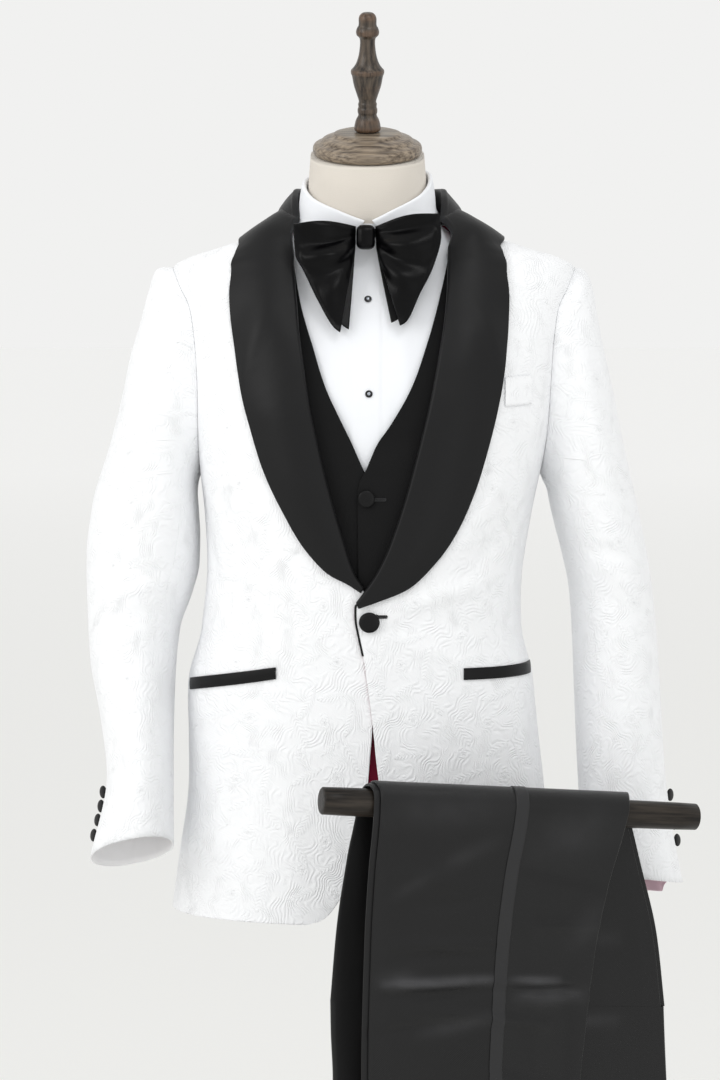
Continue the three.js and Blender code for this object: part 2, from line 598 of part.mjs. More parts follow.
// A point of a surface and its normal there, facing the front.
function standing(surface, u, v) {
  const inside = new THREE.Vector3(0, 0, v);
  return { point: surface(u, v), normal: normalOf(surface, u, v, 0.5, 0.8, inside) };
}

// Jacket. A small lift carries the left front over the right one.
function lapLift(side, degrees, z) {
  if (side < 0 || z > 1260) return 0;
  const across = 1 - smooth(Math.abs(degrees) / LAP_FADE);
  return LAP_LIFT * across * (1 - smooth((z - 1180) / 80));
}

function jacketPoint(side, degrees, z, lift) {
  return liftedPoint(JACKET, degrees, z, lift + lapLift(side, degrees, z));
}

function armholeReach(z, grow) {
  const rise = Math.abs(z - ARMHOLE.z) / (ARMHOLE.halfHeight + grow);
  if (rise >= 1) return null;
  return (ARMHOLE.halfDepth + grow) * (1 - rise ** 2.2) ** (1 / 2.2);
}

// Half of a sewn gap, in degrees round the jacket.
const seamDegrees = (z) => THREE.MathUtils.radToDeg(SEAM / 2 / read(JACKET, "width", z));

function sideDegrees(side, z, back) {
  const seam = back ? 90 + seamDegrees(z) : 90 - seamDegrees(z);
  const reach = armholeReach(z, ARMHOLE.gap);
  if (reach === null) return side * seam;
  const edge = mirrored(side, z, ARMHOLE.y + (back ? reach : -reach));
  return side * (back ? Math.max(edge, seam) : Math.min(edge, seam));
}

// Degrees from the front, either side, of the side point at a given y.
function mirrored(side, z, y) {
  let low = 20;
  let high = 160;
  for (let i = 0; i < 40; i++) {
    const middle = (low + high) / 2;
    if (sectionPoint(JACKET, side * middle, z).y < y) low = middle;
    else high = middle;
  }
  return low;
}

const centreBack = 180 - THREE.MathUtils.radToDeg(SEAM / 2 / 70);

function shawlTable(side) {
  const front = (side > 0 ? SHAWL_LEFT : SHAWL_RIGHT).map((row) => ({
    ...row,
    roll: degreesAt(JACKET, row.rollX, row.rollZ),
    edge: degreesAt(JACKET, row.edgeX, row.edgeZ),
  }));
  const neck = SHAWL_NECK.map((row) => ({
    ...row,
    roll: side * Math.min(row.roll, centreBack),
    edge: side * Math.min(row.edge, centreBack),
  }));
  return [...front, ...neck].map((row, at) => ({ ...row, at }));
}

const SHAWL_KEYS = ["roll", "rollZ", "edge", "edgeZ", "bulge", "under", "radius"];
function shawlRow(table, at) {
  return Object.fromEntries(SHAWL_KEYS.map((key) => [key, read(table, key, at, "at")]));
}
const SHAWL = new Map([1, -1].map((side) => [side, shawlTable(side)]));

// Points across a folded collar at one row: a distance from its fold and a lift.
function across(point, row) {
  const start = point(row.roll, row.rollZ, 0);
  const end = point(row.edge, row.edgeZ, 0);
  const width = start.distanceTo(end);
  const span = (distance, lift) => {
    const share = distance / width;
    return point(mix(row.roll, row.edge, share), mix(row.rollZ, row.edgeZ, share), lift);
  };
  return { span, width };
}

// A collar in section: it stands up from its seam, turns over and falls to its edge.
function foldedCollar(point, rows, sizes) {
  const columns = [
    { leg: true },
    { turn: 180 },
    { turn: 120 },
    { turn: 60 },
    { turn: 0 },
    { fall: 0.3 },
    { fall: 0.65 },
    { fall: 1 },
  ];
  const place = (column, row, depth) => {
    const { span, width } = across(point, row);
    const radius = row.radius ?? sizes.radius;
    const middle = sizes.base + radius;
    if (column.leg) return span(row.under, sizes.base + depth);
    if (column.fall === undefined) {
      const angle = radians(column.turn);
      const inner = radius - depth;
      return span(radius - inner * Math.sin(angle), middle + inner * Math.cos(angle));
    }
    const q = column.fall;
    const lift = mix(middle + radius, sizes.lift, q) + Math.sin(Math.PI * q) * row.bulge;
    return span(mix(radius, width, q), lift - depth);
  };
  return wall(place, columns, rows, sizes.cloth);
}

function shawlCollar(side) {
  const table = SHAWL.get(side);
  const last = table.length - 1;
  const rows = SHAWL_STEPS.map((at) => shawlRow(table, (at * last) / SHAWL_STEPS.at(-1)));
  const sizes = { base: -JACKET_CLOTH, cloth: COLLAR_CLOTH, lift: COLLAR_LIFT };
  return foldedCollar((degrees, z, lift) => jacketPoint(side, degrees, z, lift), rows, sizes);
}

// The front's inner edge: its own edge up to the break, then the seam under the collar.
function frontInnerEdge(side) {
  const own = (side > 0 ? FRONT_EDGE_LEFT : FRONT_EDGE_RIGHT).map((row) => ({
    z: row.z,
    degrees: degreesAt(JACKET, row.x, row.z),
  }));
  const table = SHAWL.get(side);
  const seam = steps(0, table.length - 1, 44)
    .map((at) => {
      const row = shawlRow(table, at);
      const { width } = across((a, b, c) => jacketPoint(side, a, b, c), row);
      const share = (row.under + COLLAR_SEAM) / width;
      return {
        z: mix(row.rollZ, row.edgeZ, share),
        degrees: mix(row.roll, row.edge, share),
      };
    })
    .filter((row) => Math.abs(row.degrees) < 89);
  const rows = [...own];
  for (const row of seam) if (row.z > rows[rows.length - 1].z + 2) rows.push(row);
  return rows;
}
const FRONT_INNER = new Map([1, -1].map((side) => [side, frontInnerEdge(side)]));

const PANEL_LOW = [787, 792, 802, 822, 862, 925, 1000, 1065];
const PANEL_HIGH = [1263, 1270, 1298, 1340, 1385, 1425, 1458, 1475, 1484, 1495];

function jacketFront(side) {
  const heights = [...PANEL_LOW, 1100, 1128, 1142, 1154, 1170, 1198, 1230, ...PANEL_HIGH, 1512, 1530];
  const place = (u, z, depth) => {
    const inner = read(FRONT_INNER.get(side), "degrees", z);
    return jacketPoint(side, mix(inner, sideDegrees(side, z, false), u), z, -depth);
  };
  return wall(place, steps(0, 1, 7), heights, JACKET_CLOTH);
}

function jacketBack(side) {
  const heights = [787, ...PANEL_LOW.slice(4), 1130, 1195, 1235, ...PANEL_HIGH, 1512, 1530];
  const place = (u, z, depth) => {
    const degrees = mix(side * centreBack, sideDegrees(side, z, true), u);
    return jacketPoint(side, degrees, z, -depth);
  };
  return wall(place, steps(0, 1, 7), heights, JACKET_CLOTH);
}

// Sleeves. Degrees run round the sleeve from the outermost line, plus towards the back.
const sleeveTable = (side) => (side > 0 ? SLEEVE_LEFT : SLEEVE_RIGHT).map((row, at) => ({ ...row, at }));
const SLEEVE_TABLES = new Map([1, -1].map((side) => [side, sleeveTable(side)]));
const SLEEVE_KEYS = ["inX", "inZ", "outX", "outZ", "y", "depth", "raise"];
const SLEEVE_END = SLEEVE_LEFT.length - 1;

function sleeveRing(side, row, degrees) {
  const angle = radians(degrees);
  const fuller = (value) => Math.sign(value) * Math.abs(value) ** 0.92;
  const share = (1 + fuller(Math.cos(angle))) / 2;
  const y = row.y + fuller(Math.sin(angle)) * row.depth;
  const z = mix(row.inZ, row.outZ, share) - row.raise * (y - row.y);
  return new THREE.Vector3(side * mix(row.inX, row.outX, share), y, z);
}

// The armhole's edge where the sleeve's first ring meets it, on the jacket's face.
function armholePoint(side, degrees) {
  const flat = sleeveRing(side, SLEEVE_TABLES.get(side)[0], degrees);
  const limit = ARMHOLE.halfHeight - 0.2;
  const z = THREE.MathUtils.clamp(flat.z, ARMHOLE.z - limit, ARMHOLE.z + limit);
  const reach = armholeReach(z, 0);
  const y = ARMHOLE.y + (flat.y > ARMHOLE.y ? reach : -reach);
  return sectionPoint(JACKET, side * mirrored(side, z, y), z);
}

function sleevePoint(side, degrees, at) {
  const table = SLEEVE_TABLES.get(side);
  const row = Object.fromEntries(SLEEVE_KEYS.map((key) => [key, read(table, key, at, "at")]));
  const point = sleeveRing(side, row, degrees);
  const fade = 1 - smooth(at / 4);
  if (fade <= 0) return point;
  const first = sleeveRing(side, table[0], degrees);
  return point.add(armholePoint(side, degrees).sub(first).multiplyScalar(fade));
}

function sleeveLifted(side, degrees, at, lift) {
  const surface = (a, b) => sleevePoint(side, a, b);
  const v = THREE.MathUtils.clamp(at, 0.06, SLEEVE_END - 0.06);
  const opposite = sleevePoint(side, degrees + 180, v);
  const centre = sleevePoint(side, degrees, v).add(opposite).multiplyScalar(0.5);
  const normal = normalOf(surface, degrees, v, 1.5, 0.05, centre);
  return { point: surface(degrees, at).addScaledVector(normal, lift), normal };
}

// A point off the sleeve's straight stretch between two of its rows.
function onSleeve(side, degrees, at, lift) {
  const [low, high] = [SLEEVE_ROWS.findLast((row) => row <= at), SLEEVE_ROWS.find((row) => row > at)];
  const share = (at - low) / (high - low);
  const bottom = sleeveLifted(side, degrees, low, lift);
  const top = sleeveLifted(side, degrees, high, lift);
  const normal = bottom.normal.lerp(top.normal, share);
  const line = top.point.clone().sub(bottom.point).normalize();
  normal.addScaledVector(line, -normal.dot(line)).normalize();
  return { point: bottom.point.lerp(top.point, share), normal };
}

// A direction leaned forwards, to -Y, by an angle.
function leaned(normal, degrees) {
  const front = new THREE.Vector3(0, -1, 0);
  front.addScaledVector(normal, -normal.dot(front)).normalize();
  const angle = radians(degrees);
  return normal.clone().multiplyScalar(Math.cos(angle)).addScaledVector(front, Math.sin(angle));
}

function sleevePiece(side, under) {
  const gap = 0.14; // degrees, half of a sewn gap
  const rows = SLEEVE_ROWS;
  const place = (u, at, depth) => {
    const front = read(SLEEVE_SEAMS, "front", at, "at");
    const back = read(SLEEVE_SEAMS, "back", at, "at");
    const from = under ? back + gap : front + gap;
    const to = under ? front + 360 - gap : back - gap;
    return sleeveLifted(side, mix(from, to, u), at, -depth).point;
  };
  return wall(place, steps(0, 1, under ? 7 : 10), rows, SLEEVE_CLOTH);
}

// Shirt and waistcoat lie on the form.
const formPoint = (degrees, z, lift) => liftedPoint(FORM, degrees, z, lift);
const formSeam = (z) => THREE.MathUtils.radToDeg(SEAM / 2 / read(FORM, "width", z));

const SHIRT_ROWS = [1024, 1110, 1200, 1285, 1306, 1350, 1400, 1440, 1462, 1476, 1494, 1516];

function shirtFront() {
  const heights = SHIRT_ROWS;
  const place = (u, z, depth) => {
    const side = read(SHIRT_SIDE, "front", z) - formSeam(z);
    return formPoint(mix(-side, side, u), z, read(SHIRT_LIFT, "lift", z) - depth);
  };
  return wall(place, steps(0, 1, 14), heights, SHIRT_CLOTH);
}

function shirtBack() {
  const heights = SHIRT_ROWS;
  const place = (u, z, depth) => {
    const side = read(SHIRT_SIDE, "back", z) + formSeam(z);
    return formPoint(mix(side, 360 - side, u), z, read(SHIRT_LIFT, "lift", z) - depth);
  };
  return wall(place, steps(0, 1, 13), heights, SHIRT_CLOTH);
}

function shirtCollar(side) {
  const middle = 180 - THREE.MathUtils.radToDeg(SEAM / 2 / 60);
  const table = SHIRT_COLLAR.map((row, at) => ({ ...row, at }));
  const keys = Object.keys(SHIRT_COLLAR[0]);
  const rows = steps(0, table.length - 1, SHIRT_COLLAR_ROWS).map((at) => {
    const row = Object.fromEntries(keys.map((key) => [key, read(table, key, at, "at")]));
    const rise = side > 0 ? COLLAR_RISE_LEFT * Math.sin(radians(row.roll)) : 0;
    return {
      ...row,
      rollZ: row.rollZ + rise,
      roll: side * Math.min(row.roll, middle),
      edge: side * Math.min(row.edge, middle),
    };
  });
  return foldedCollar(formPoint, rows, SHIRT_COLLAR_ROLL);
}

function waistcoatPoint(side, degrees, z, lift) {
  const across = 1 - smooth(Math.abs(degrees) / WAISTCOAT_FADE);
  const lap = side > 0 ? WAISTCOAT_LAP * across * (1 - smooth((z - 1275) / 30)) : 0;
  return formPoint(degrees, z, WAISTCOAT_LIFT + lap + lift);
}

const WAISTCOAT_ROWS = [
  1042, 1054, 1110, 1180, 1244, 1256, 1270, 1295, 1350, 1405, 1450, 1480, 1498, 1511,
];

function waistcoatFront(side) {
  const key = side > 0 ? "left" : "right";
  const place = (u, z, depth) => {
    const inner = degreesAt(FORM, read(WAISTCOAT_V, key, z), z);
    const outer = side * (read(WAISTCOAT_SIDE, "front", z) - formSeam(z));
    return waistcoatPoint(side, mix(inner, outer, u), z, -depth);
  };
  return wall(place, steps(0, 1, 7), WAISTCOAT_ROWS, WAISTCOAT_CLOTH);
}

function waistcoatBack() {
  const rows = WAISTCOAT_ROWS.filter((z) => z !== 1054 && z !== 1256);
  const place = (u, z, depth) => {
    const side = read(WAISTCOAT_SIDE, "back", z) + formSeam(z);
    return formPoint(mix(side, 360 - side, u), z, WAISTCOAT_BACK_LIFT - depth);
  };
  return wall(place, steps(0, 1, 13), rows, WAISTCOAT_CLOTH);
}

// A strip that lies on the jacket's face between two points.
function welt({ side, from, to, half }) {
  const place = (u, v, depth) => {
    const z = mix(from[1], to[1], u) + v * half;
    const degrees = mix(degreesAt(JACKET, from[0], z), degreesAt(JACKET, to[0], z), u);
    return jacketPoint(side, degrees, z, WELT_LIFT - depth);
  };
  return wall(place, steps(0, 1, 8), [-1, 1], WELT_LIFT - WELT_GAP);
}

// Bow tie.
function wing(side, back) {
  const table = side > 0 ? WING_LEFT : WING_RIGHT;
  const root = (v) => new THREE.Vector3(
    KNOT.x + side * (KNOT.width / 2 + SEAM),
    KNOT.y - 2 + (back ? 4.5 : 0),
    KNOT.z + mix(WING.knotHalf, -WING.knotHalf, v),
  );
  const surface = (u, v) => {
    const end = new THREE.Vector3(...["x", "y", "z"].map((key) => read(table, key, v, "at")));
    if (back) {
      end.x -= side * mix(WING.backTop, WING.backTip, v);
      end.y += WING.backY;
      end.z += 3 * v;
    }
    const point = root(v).lerp(end, u);
    const swell = Math.sin(Math.PI * Math.min(1, u * 1.05));
    point.y += (back ? 0.35 : -1) * WING.belly * swell * (0.55 + 0.45 * Math.sin(Math.PI * v));
    point.z += (1 - v) * 4 * swell;
    return point;
  };
  const place = (u, v, depth) => {
    const inU = mix(0.02, 0.98, u);
    const inV = mix(0.02, 0.98, v);
    const normal = normalOf(surface, inU, inV, 0.01, 0.01, new THREE.Vector3(0, 400, 1400));
    return surface(u, v).addScaledVector(normal, -depth);
  };
  return wall(place, steps(0, 1, 5), [0, 0.18, 0.38, 0.66, 0.9, 1], WING.cloth);
}

// The knot: a rounded band round the middle of the bow.
function knot() {
  const geometry = new THREE.SphereGeometry(1, 12, 8).rotateX(Math.PI / 2);
  const position = geometry.getAttribute("position");
  const fuller = (value) => Math.sign(value) * Math.abs(value) ** 0.6;
  for (let i = 0; i < position.count; i++)
    position.setXYZ(
      i,
      (fuller(position.getX(i)) * KNOT.width) / 2,
      (fuller(position.getY(i)) * KNOT.depth) / 2,
      (fuller(position.getZ(i)) * KNOT.height) / 2,
    );
  return mergeVertices(bare(geometry).translate(KNOT.x, KNOT.y, KNOT.z), 1e-3);
}

function bare(geometry) {
  geometry.deleteAttribute("normal");
  geometry.deleteAttribute("uv");
  return geometry;
}

function tieBand() {
  const fold = SHIRT_COLLAR.map((row) => ({ at: row.roll, z: row.rollZ }));
  const place = (degrees, v, depth) => {
    const z = read(fold, "z", Math.abs(degrees), "at") - TIE_BAND.below + v * TIE_BAND.halfHeight;
    return formPoint(degrees, z, TIE_BAND.lift - depth);
  };
  return wall(place, steps(-TIE_BAND.reach, TIE_BAND.reach, 6), [-1, 1], TIE_BAND.cloth);
}

// The trousers hang in folded layers over the bar, measured along it and down from its top.
const DRAPE_RADIUS = 20; // middle of the layers, where the quarter turns are measured
const barFrom = new THREE.Vector3(...BAR.from);
const barTo = new THREE.Vector3(...BAR.to);
const barLine = barTo.clone().sub(barFrom).normalize();
const barBack = new THREE.Vector3(-barLine.y, barLine.x, 0).normalize();
const barUp = barLine.clone().cross(barBack).multiplyScalar(-1);

// A point of the drape: distance along the bar, distance along the drape, and radius.
function drapePoint(along, at, radius) {
  const quarter = (DRAPE_RADIUS * Math.PI) / 2;
  const hang = Math.max(0, Math.abs(at) - quarter);
  const angle = (THREE.MathUtils.clamp(at / quarter, -1, 1) * Math.PI) / 2;
  const point = barFrom.clone().addScaledVector(barLine, along);
  point.addScaledVector(barBack, Math.sin(angle) * radius);
  point.addScaledVector(barUp, Math.cos(angle) * radius * Math.sign(barUp.z));
  point.z -= hang;
  return point;
}

// A flattened tube's half, seam to seam, round one crease. share 0 and 1 are the seams.
function tubeHalf(table, layer, crease, shift) {
  const half = layer.thickness / 2;
  const middle = layer.from + half;
  const turns = [60, 0, -60];
  const columns = [
    { face: 1, share: 0 },
    { face: 1, share: 1 },
    ...turns.map((turn) => ({ turn })),
    { face: -1, share: 1 },
    { face: -1, share: 0 },
  ];
  const place = (column, at, depth) => {
    const from = read(table, "from", at, "at") + shift;
    const to = read(table, "to", at, "at") + shift;
    const middleSeam = mix(from, to, read(table, "stripe", at, "at"));
    const seam = middleSeam + (crease === "from" ? -SEAM / 2 : SEAM / 2);
    const sign = crease === "from" ? -1 : 1;
    const end = (crease === "from" ? from : to) - sign * half;
    const inner = half - depth;
    if (column.face)
      return drapePoint(mix(seam, end, column.share), at, middle + column.face * inner);
    const angle = radians(column.turn);
    return drapePoint(end + sign * Math.cos(angle) * inner, at, middle + Math.sin(angle) * inner);
  };
  const rows = table.map((row) => row.at);
  return wall(place, columns, rows, TROUSER_CLOTH);
}

function stripe(from, to, face, outward, shift) {
  const rows = [...LEG, ...SEAT].map((row) => row.at).filter((at) => at >= from && at <= to);
  const table = [...LEG, ...SEAT];
  const place = (u, at, depth) => {
    const low = read(table, "from", at, "at") + shift;
    const high = read(table, "to", at, "at") + shift;
    const centre = mix(low, high, read(table, "stripe", at, "at"));
    return drapePoint(centre + u * STRIPE.half, at, face + outward * (STRIPE.lift - depth));
  };
  return wall(place, [-1, 1], rows, STRIPE.cloth);
}

function build() {
  add("form_torso", formTorso(), "linen");
  const top = FORM[FORM.length - 1];
  const tip = new THREE.Vector3(0, -Math.sin(NECK_TIP), Math.cos(NECK_TIP));
  const capAt = new THREE.Vector3(top.x, top.y, top.z).addScaledVector(tip, SEAT_GAP);
  const capHeight = NECK_CAP[NECK_CAP.length - 1].h;
  const finialAt = capAt.clone().addScaledVector(tip, capHeight + SEAT_GAP);
  add("neck_cap", stand(turned(NECK_CAP, 28), capAt, tip), "dark_wood");
  add("finial", stand(turned(FINIAL, 12), finialAt, tip), "dark_wood");

  const baseTop = BASE[BASE.length - 1].h + SEAT_GAP;
  const floor = (z) => new THREE.Vector3(0, 0, z);
  add("base", turned(BASE, 32), "dark_wood");
  add("pole", rod(floor(baseTop), floor(FORM[0].z - SEAT_GAP), POLE_RADIUS, 16), "black_metal");
  add("bar", rod(barFrom, barTo, BAR.radius, 20), "dark_wood");
  const postTop = barFrom.clone().lerp(barTo, POST_AT);
  const postFoot = new THREE.Vector3(postTop.x, postTop.y, CLAMP.z);
  postTop.z -= BAR.radius + SEAT_GAP + 0.8;
  const postSeat = postFoot.clone().setZ(CLAMP.z + ARM_RADIUS + SEAT_GAP);
  add("bar_post", rod(postSeat, postTop, POST_RADIUS, 12), "black_metal");
  const outward = postFoot.clone().sub(floor(CLAMP.z)).normalize();
  const armFrom = floor(CLAMP.z).addScaledVector(outward, CLAMP.radius - 0.1);
  const armTo = postFoot.clone().addScaledVector(outward, POST_RADIUS);
  add("bar_arm", rod(armFrom, armTo, ARM_RADIUS, 12), "black_metal");
  add("pole_clamp", clamp(), "black_metal");

  add("shirt_front", shirtFront(), "shirt_cotton");
  add("shirt_back", shirtBack(), "shirt_cotton");
  add("waistcoat_back", waistcoatBack(), "satin");
  add("tie_band", tieBand(), "velvet");
  add("tie_knot", knot(), "velvet");
  for (const [name, side] of [["left", 1], ["right", -1]]) {
    add("shirt_collar_" + name, shirtCollar(side), "shirt_cotton");
    add("waistcoat_front_" + name, waistcoatFront(side), "waistcoat_cloth");
    add("tie_wing_" + name, wing(side, false), "velvet");
    add("tie_wing_" + name + "_back", wing(side, true), "velvet");
    add("jacket_front_" + name, jacketFront(side), "jacquard");
    add("jacket_back_" + name, jacketBack(side), "jacquard");
    add("shawl_collar_" + name, shawlCollar(side), "satin");
    add("top_sleeve_" + name, sleevePiece(side, false), "jacquard");
    add("under_sleeve_" + name, sleevePiece(side, true), "jacquard");
    CUFF_BUTTON_ROWS[name].forEach((at, i) => {
      const { point, normal } = onSleeve(side, CUFF_BUTTON.degrees, at, CUFF_BUTTON.lift);
      const shape = button(CUFF_BUTTON.radius, CUFF_BUTTON.height, 8);
      const face = leaned(normal, CUFF_BUTTON.lean);
      add("cuff_button_" + name + "_" + (i + 1), stand(shape, point, face), "satin");
    });
  }
  for (const [name, sizes] of Object.entries(WELTS)) add(name, welt(sizes), sizes.look);

  for (const [name, sizes] of Object.entries(BUTTONS)) {
    const onJacket = name === "front_button";
    const surface = onJacket
      ? (degrees, z) => jacketPoint(1, degrees, z, BUTTON_GAP)
      : (degrees, z) => waistcoatPoint(1, degrees, z, BUTTON_GAP);
    const { point, normal } = standing(surface, sizes.degrees, sizes.z);
    add(name, stand(button(sizes.radius, sizes.height, 16), point, normal), "satin");
  }
  for (const [name, { degrees, z }] of Object.entries(STUDS)) {
    const lift = read(SHIRT_LIFT, "lift", z) + BUTTON_GAP;
    const { point, normal } = standing((a, b) => formPoint(a, b, lift), degrees, z);
    add(name, stand(button(STUD.radius, STUD.height, 10), point, normal), "stud");
  }

  const lower = { from: FIRST_LEG, thickness: LEG_THICKNESS };
  const upper = { from: FIRST_LEG + LEG_THICKNESS + LEG_GAP, thickness: LEG_THICKNESS };
  const whole = { from: FIRST_LEG, thickness: LEG_THICKNESS * 2 + LEG_GAP };
  for (const [crease, piece] of [["from", "front"], ["to", "back"]]) {
    add("trouser_leg_left_" + piece, tubeHalf(LEG, upper, crease, 0), "trouser_wool");
    add("trouser_leg_right_" + piece, tubeHalf(LEG, lower, crease, UNDER_LEG_SHIFT), "trouser_wool");
    add("trouser_seat_" + piece, tubeHalf(SEAT, whole, crease, 0), "trouser_wool");
    add("waistband_" + piece, tubeHalf(WAISTBAND, whole, crease, 0), "satin");
  }
  const outside = FIRST_LEG + whole.thickness;
  add("trouser_stripe_left", stripe(-572, 470, outside, 1, 0), "satin");
  add("trouser_stripe_right", stripe(-572, 470, FIRST_LEG, -1, 0), "satin");
}

// The clamp is a short tube round the pole.
function clamp() {
  const outer = CLAMP.radius;
  const inner = POLE_RADIUS + SEAT_GAP;
  const place = (degrees, v, depth) => {
    const angle = radians(degrees);
    const reach = outer - depth;
    const z = CLAMP.z + (v * CLAMP.height) / 2;
    return new THREE.Vector3(Math.cos(angle) * reach, Math.sin(angle) * reach, z);
  };
  return wall(place, steps(0, 360, 16).slice(0, -1), [-1, 1], outer - inner, true);
}

build();
export default root;
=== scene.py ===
"""The looks of a tuxedo on a limbless dress form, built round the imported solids.

Sizes are millimetres in the row frame: +Z up, the front faces -Y, left is +X.
The surfaces are the ones that the solids are made from, on finer grids.
"""
import math

import bpy
import numpy as np
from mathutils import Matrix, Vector


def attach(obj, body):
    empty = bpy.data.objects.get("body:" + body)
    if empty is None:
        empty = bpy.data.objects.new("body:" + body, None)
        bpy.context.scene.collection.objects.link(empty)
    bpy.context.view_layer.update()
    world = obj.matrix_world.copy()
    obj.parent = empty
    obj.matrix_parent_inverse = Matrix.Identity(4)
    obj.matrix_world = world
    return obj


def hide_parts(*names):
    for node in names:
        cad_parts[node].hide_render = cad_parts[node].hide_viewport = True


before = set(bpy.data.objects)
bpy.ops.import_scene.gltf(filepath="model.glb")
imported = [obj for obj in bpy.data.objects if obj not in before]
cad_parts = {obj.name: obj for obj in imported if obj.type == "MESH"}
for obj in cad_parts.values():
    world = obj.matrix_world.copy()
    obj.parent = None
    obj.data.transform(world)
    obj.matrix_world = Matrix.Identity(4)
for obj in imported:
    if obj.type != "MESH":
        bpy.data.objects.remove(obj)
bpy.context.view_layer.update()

MM = 0.001


# Tables and their reading.
def table(columns, *rows):
    values = np.array(rows, float)
    return {name: values[:, i] for i, name in enumerate(columns.split())}


def numbered(rows):
    """The same table with a column that numbers its rows."""
    count = len(next(iter(rows.values())))
    return {**rows, "at": np.arange(count, dtype=float)}


def read(rows, column, at, by="z"):
    """One column of a table, read smoothly without overshooting its rows."""
    knots, values = rows[by], rows[column]
    if knots[0] > knots[-1]:
        knots, values = knots[::-1], values[::-1]
    span = np.diff(knots)
    slope = np.diff(values) / span
    before, after = slope[:-1], slope[1:]
    same = before * after > 0
    total = np.where(same, before + after, 1)
    inner = np.where(same, 2 * before * after / total, 0)
    tangent = np.concatenate([slope[:1], inner, slope[-1:]])
    at = np.clip(np.asarray(at, float), knots[0], knots[-1])
    i = np.clip(np.searchsorted(knots, at, side="right") - 1, 0, len(span) - 1)
    t = (at - knots[i]) / span[i]
    return (
        values[i] * (1 + 2 * t) * (1 - t) ** 2
        + values[i + 1] * t * t * (3 - 2 * t)
        + tangent[i] * span[i] * t * (1 - t) ** 2
        - tangent[i + 1] * span[i] * t * t * (1 - t)
    )


def mix(a, b, t):
    return a + (b - a) * t


def smooth(t):
    t = np.clip(t, 0, 1)
    return t * t * (3 - 2 * t)


def unit(v):
    return v / np.maximum(np.linalg.norm(v, axis=-1, keepdims=True), 1e-9)


def points(x, y, z):
    return np.stack(np.broadcast_arrays(x, y, z), axis=-1).astype(float)


def spaced(*runs):
    """Places along a piece: runs of start, end and step, joined end to start."""
    parts = []
    for start, end, step in runs:
        count = max(1, round(abs(end - start) / step))
        parts.append(np.linspace(start, end, count + 1)[:-1])
    return np.append(np.concatenate(parts), runs[-1][1])


def columns_of(width, step, edge=0.8):
    """Shares of a piece's width, with one close to each edge so that the edge is crisp."""
    count = max(2, round(width / step))
    inner = np.linspace(0, 1, count + 1)[1:-1]
    return np.concatenate([[0, edge / width], inner, [1 - edge / width, 1]])


LINE_ENDS = 0.35  # share of a soft line's rise that is left at its ends


def soft_lines(rows, across, along):
    """Height of soft ridges and troughs that lie along short lines."""
    height = 0.0
    for x0, y0, x1, y1, width, rise in rows:
        line = np.array([x1 - x0, y1 - y0], float)
        share = ((across - x0) * line[0] + (along - y0) * line[1]) / (line @ line)
        share = np.clip(share, 0, 1)
        gap = np.hypot(across - x0 - share * line[0], along - y0 - share * line[1])
        fade = LINE_ENDS + (1 - LINE_ENDS) * np.sin(math.pi * share)
        height = height + rise * fade * np.exp(-((gap / width) ** 2))
    return height


def scaled(rows, across, along=1.0):
    """Soft lines whose ends are turned from degrees and rows into millimetres."""
    return [(a * across, b * along, c * across, d * along, w, h) for a, b, c, d, w, h in rows]


def halved(low, high, short):
    """The places from low to high at which short turns false, found by halving."""
    for _ in range(34):
        middle = (low + high) / 2
        under = short(middle)
        low, high = np.where(under, middle, low), np.where(under, high, middle)
    return low


def sided(name, side):
    return name + ("left" if side > 0 else "right")


# The dress form and the jacket, hip to neck.
SECTION_POWER = 2.5
FORM = table(
    "z width front back x y tip",
    (1012, 151, 99, 92, -3, 0, 0),
    (1050, 147, 99, 87, -3, 0, 0),
    (1090, 144, 100, 83, -3, 0, 0),
    (1150, 145, 104, 83, -2, 0, 0),
    (1210, 152, 109, 88, -1, 0, 0),
    (1265, 161, 112, 95, 0, 0, 0),
    (1320, 167, 111, 101, 1, 0, 0),
    (1370, 172, 104, 104, 2, 0, 0),
    (1410, 176, 93, 103, 2, 0, 0),
    (1440, 177, 80, 98, 2, 0, 0),
    (1460, 174, 69, 90, 2, 0, 0),
    (1474, 160, 62, 82, 2, 0, 0),
    (1490, 135, 57, 74, 1, 0, 0),
    (1505, 106, 55, 66, 0, 0, 0),
    (1520, 82, 57, 61, -1, -2, 0.04),
    (1534, 69, 58, 58, -2, -4, 0.09),
    (1550, 64.5, 59, 57, -3, -6, 0.15),
    (1576, 63, 59, 57, -3, -9, 0.24),
    (1602, 61, 58, 57, -3, -12, 0.29),
)
JACKET = table(
    "z width front back x y turn",
    (784, 211, 119, 124, -6, 0, -4),
    (850, 203, 118, 124, -5, 0, -4),
    (912, 195, 117, 122, -4, 0, -4),
    (975, 191, 116, 117, -7, 0, -4),
    (1035, 188, 116, 110, -10, 0, -4),
    (1094, 174, 118, 102, -9, 0, -3),
    (1150, 171, 121, 101, -6, 0, -2),
    (1200, 175, 125, 105, -3, 0, -1),
    (1262, 184, 129, 113, 0, 0, 0),
    (1319, 194, 128, 119, 3, 0, 0),
    (1370, 200, 121, 122, 4, 0, 0),
    (1405, 204, 112, 122, 4, 0, 0),
    (1440, 210, 98, 117, 4, 2, 0),
    (1465, 217, 87, 109, 4, 4, 0),
    (1482, 217, 79, 100, 4, 5, 0),
    (1493, 200, 73, 93, 4, 5, 0),
    (1503, 168, 69, 87, 3, 4, 0),
    (1513, 137, 67, 82, 3, 3, 0),
    (1523, 105, 66, 78, 1, 2, 0),
    (1533, 84, 66, 76, -0.5, 1, 0),
    (1550, 79.5, 68, 74, -0.5, 0, 0),
    (1572, 78, 69, 73, 0, 0, 0),
)
SEAM = 0.3
JACKET_CLOTH = 2.0

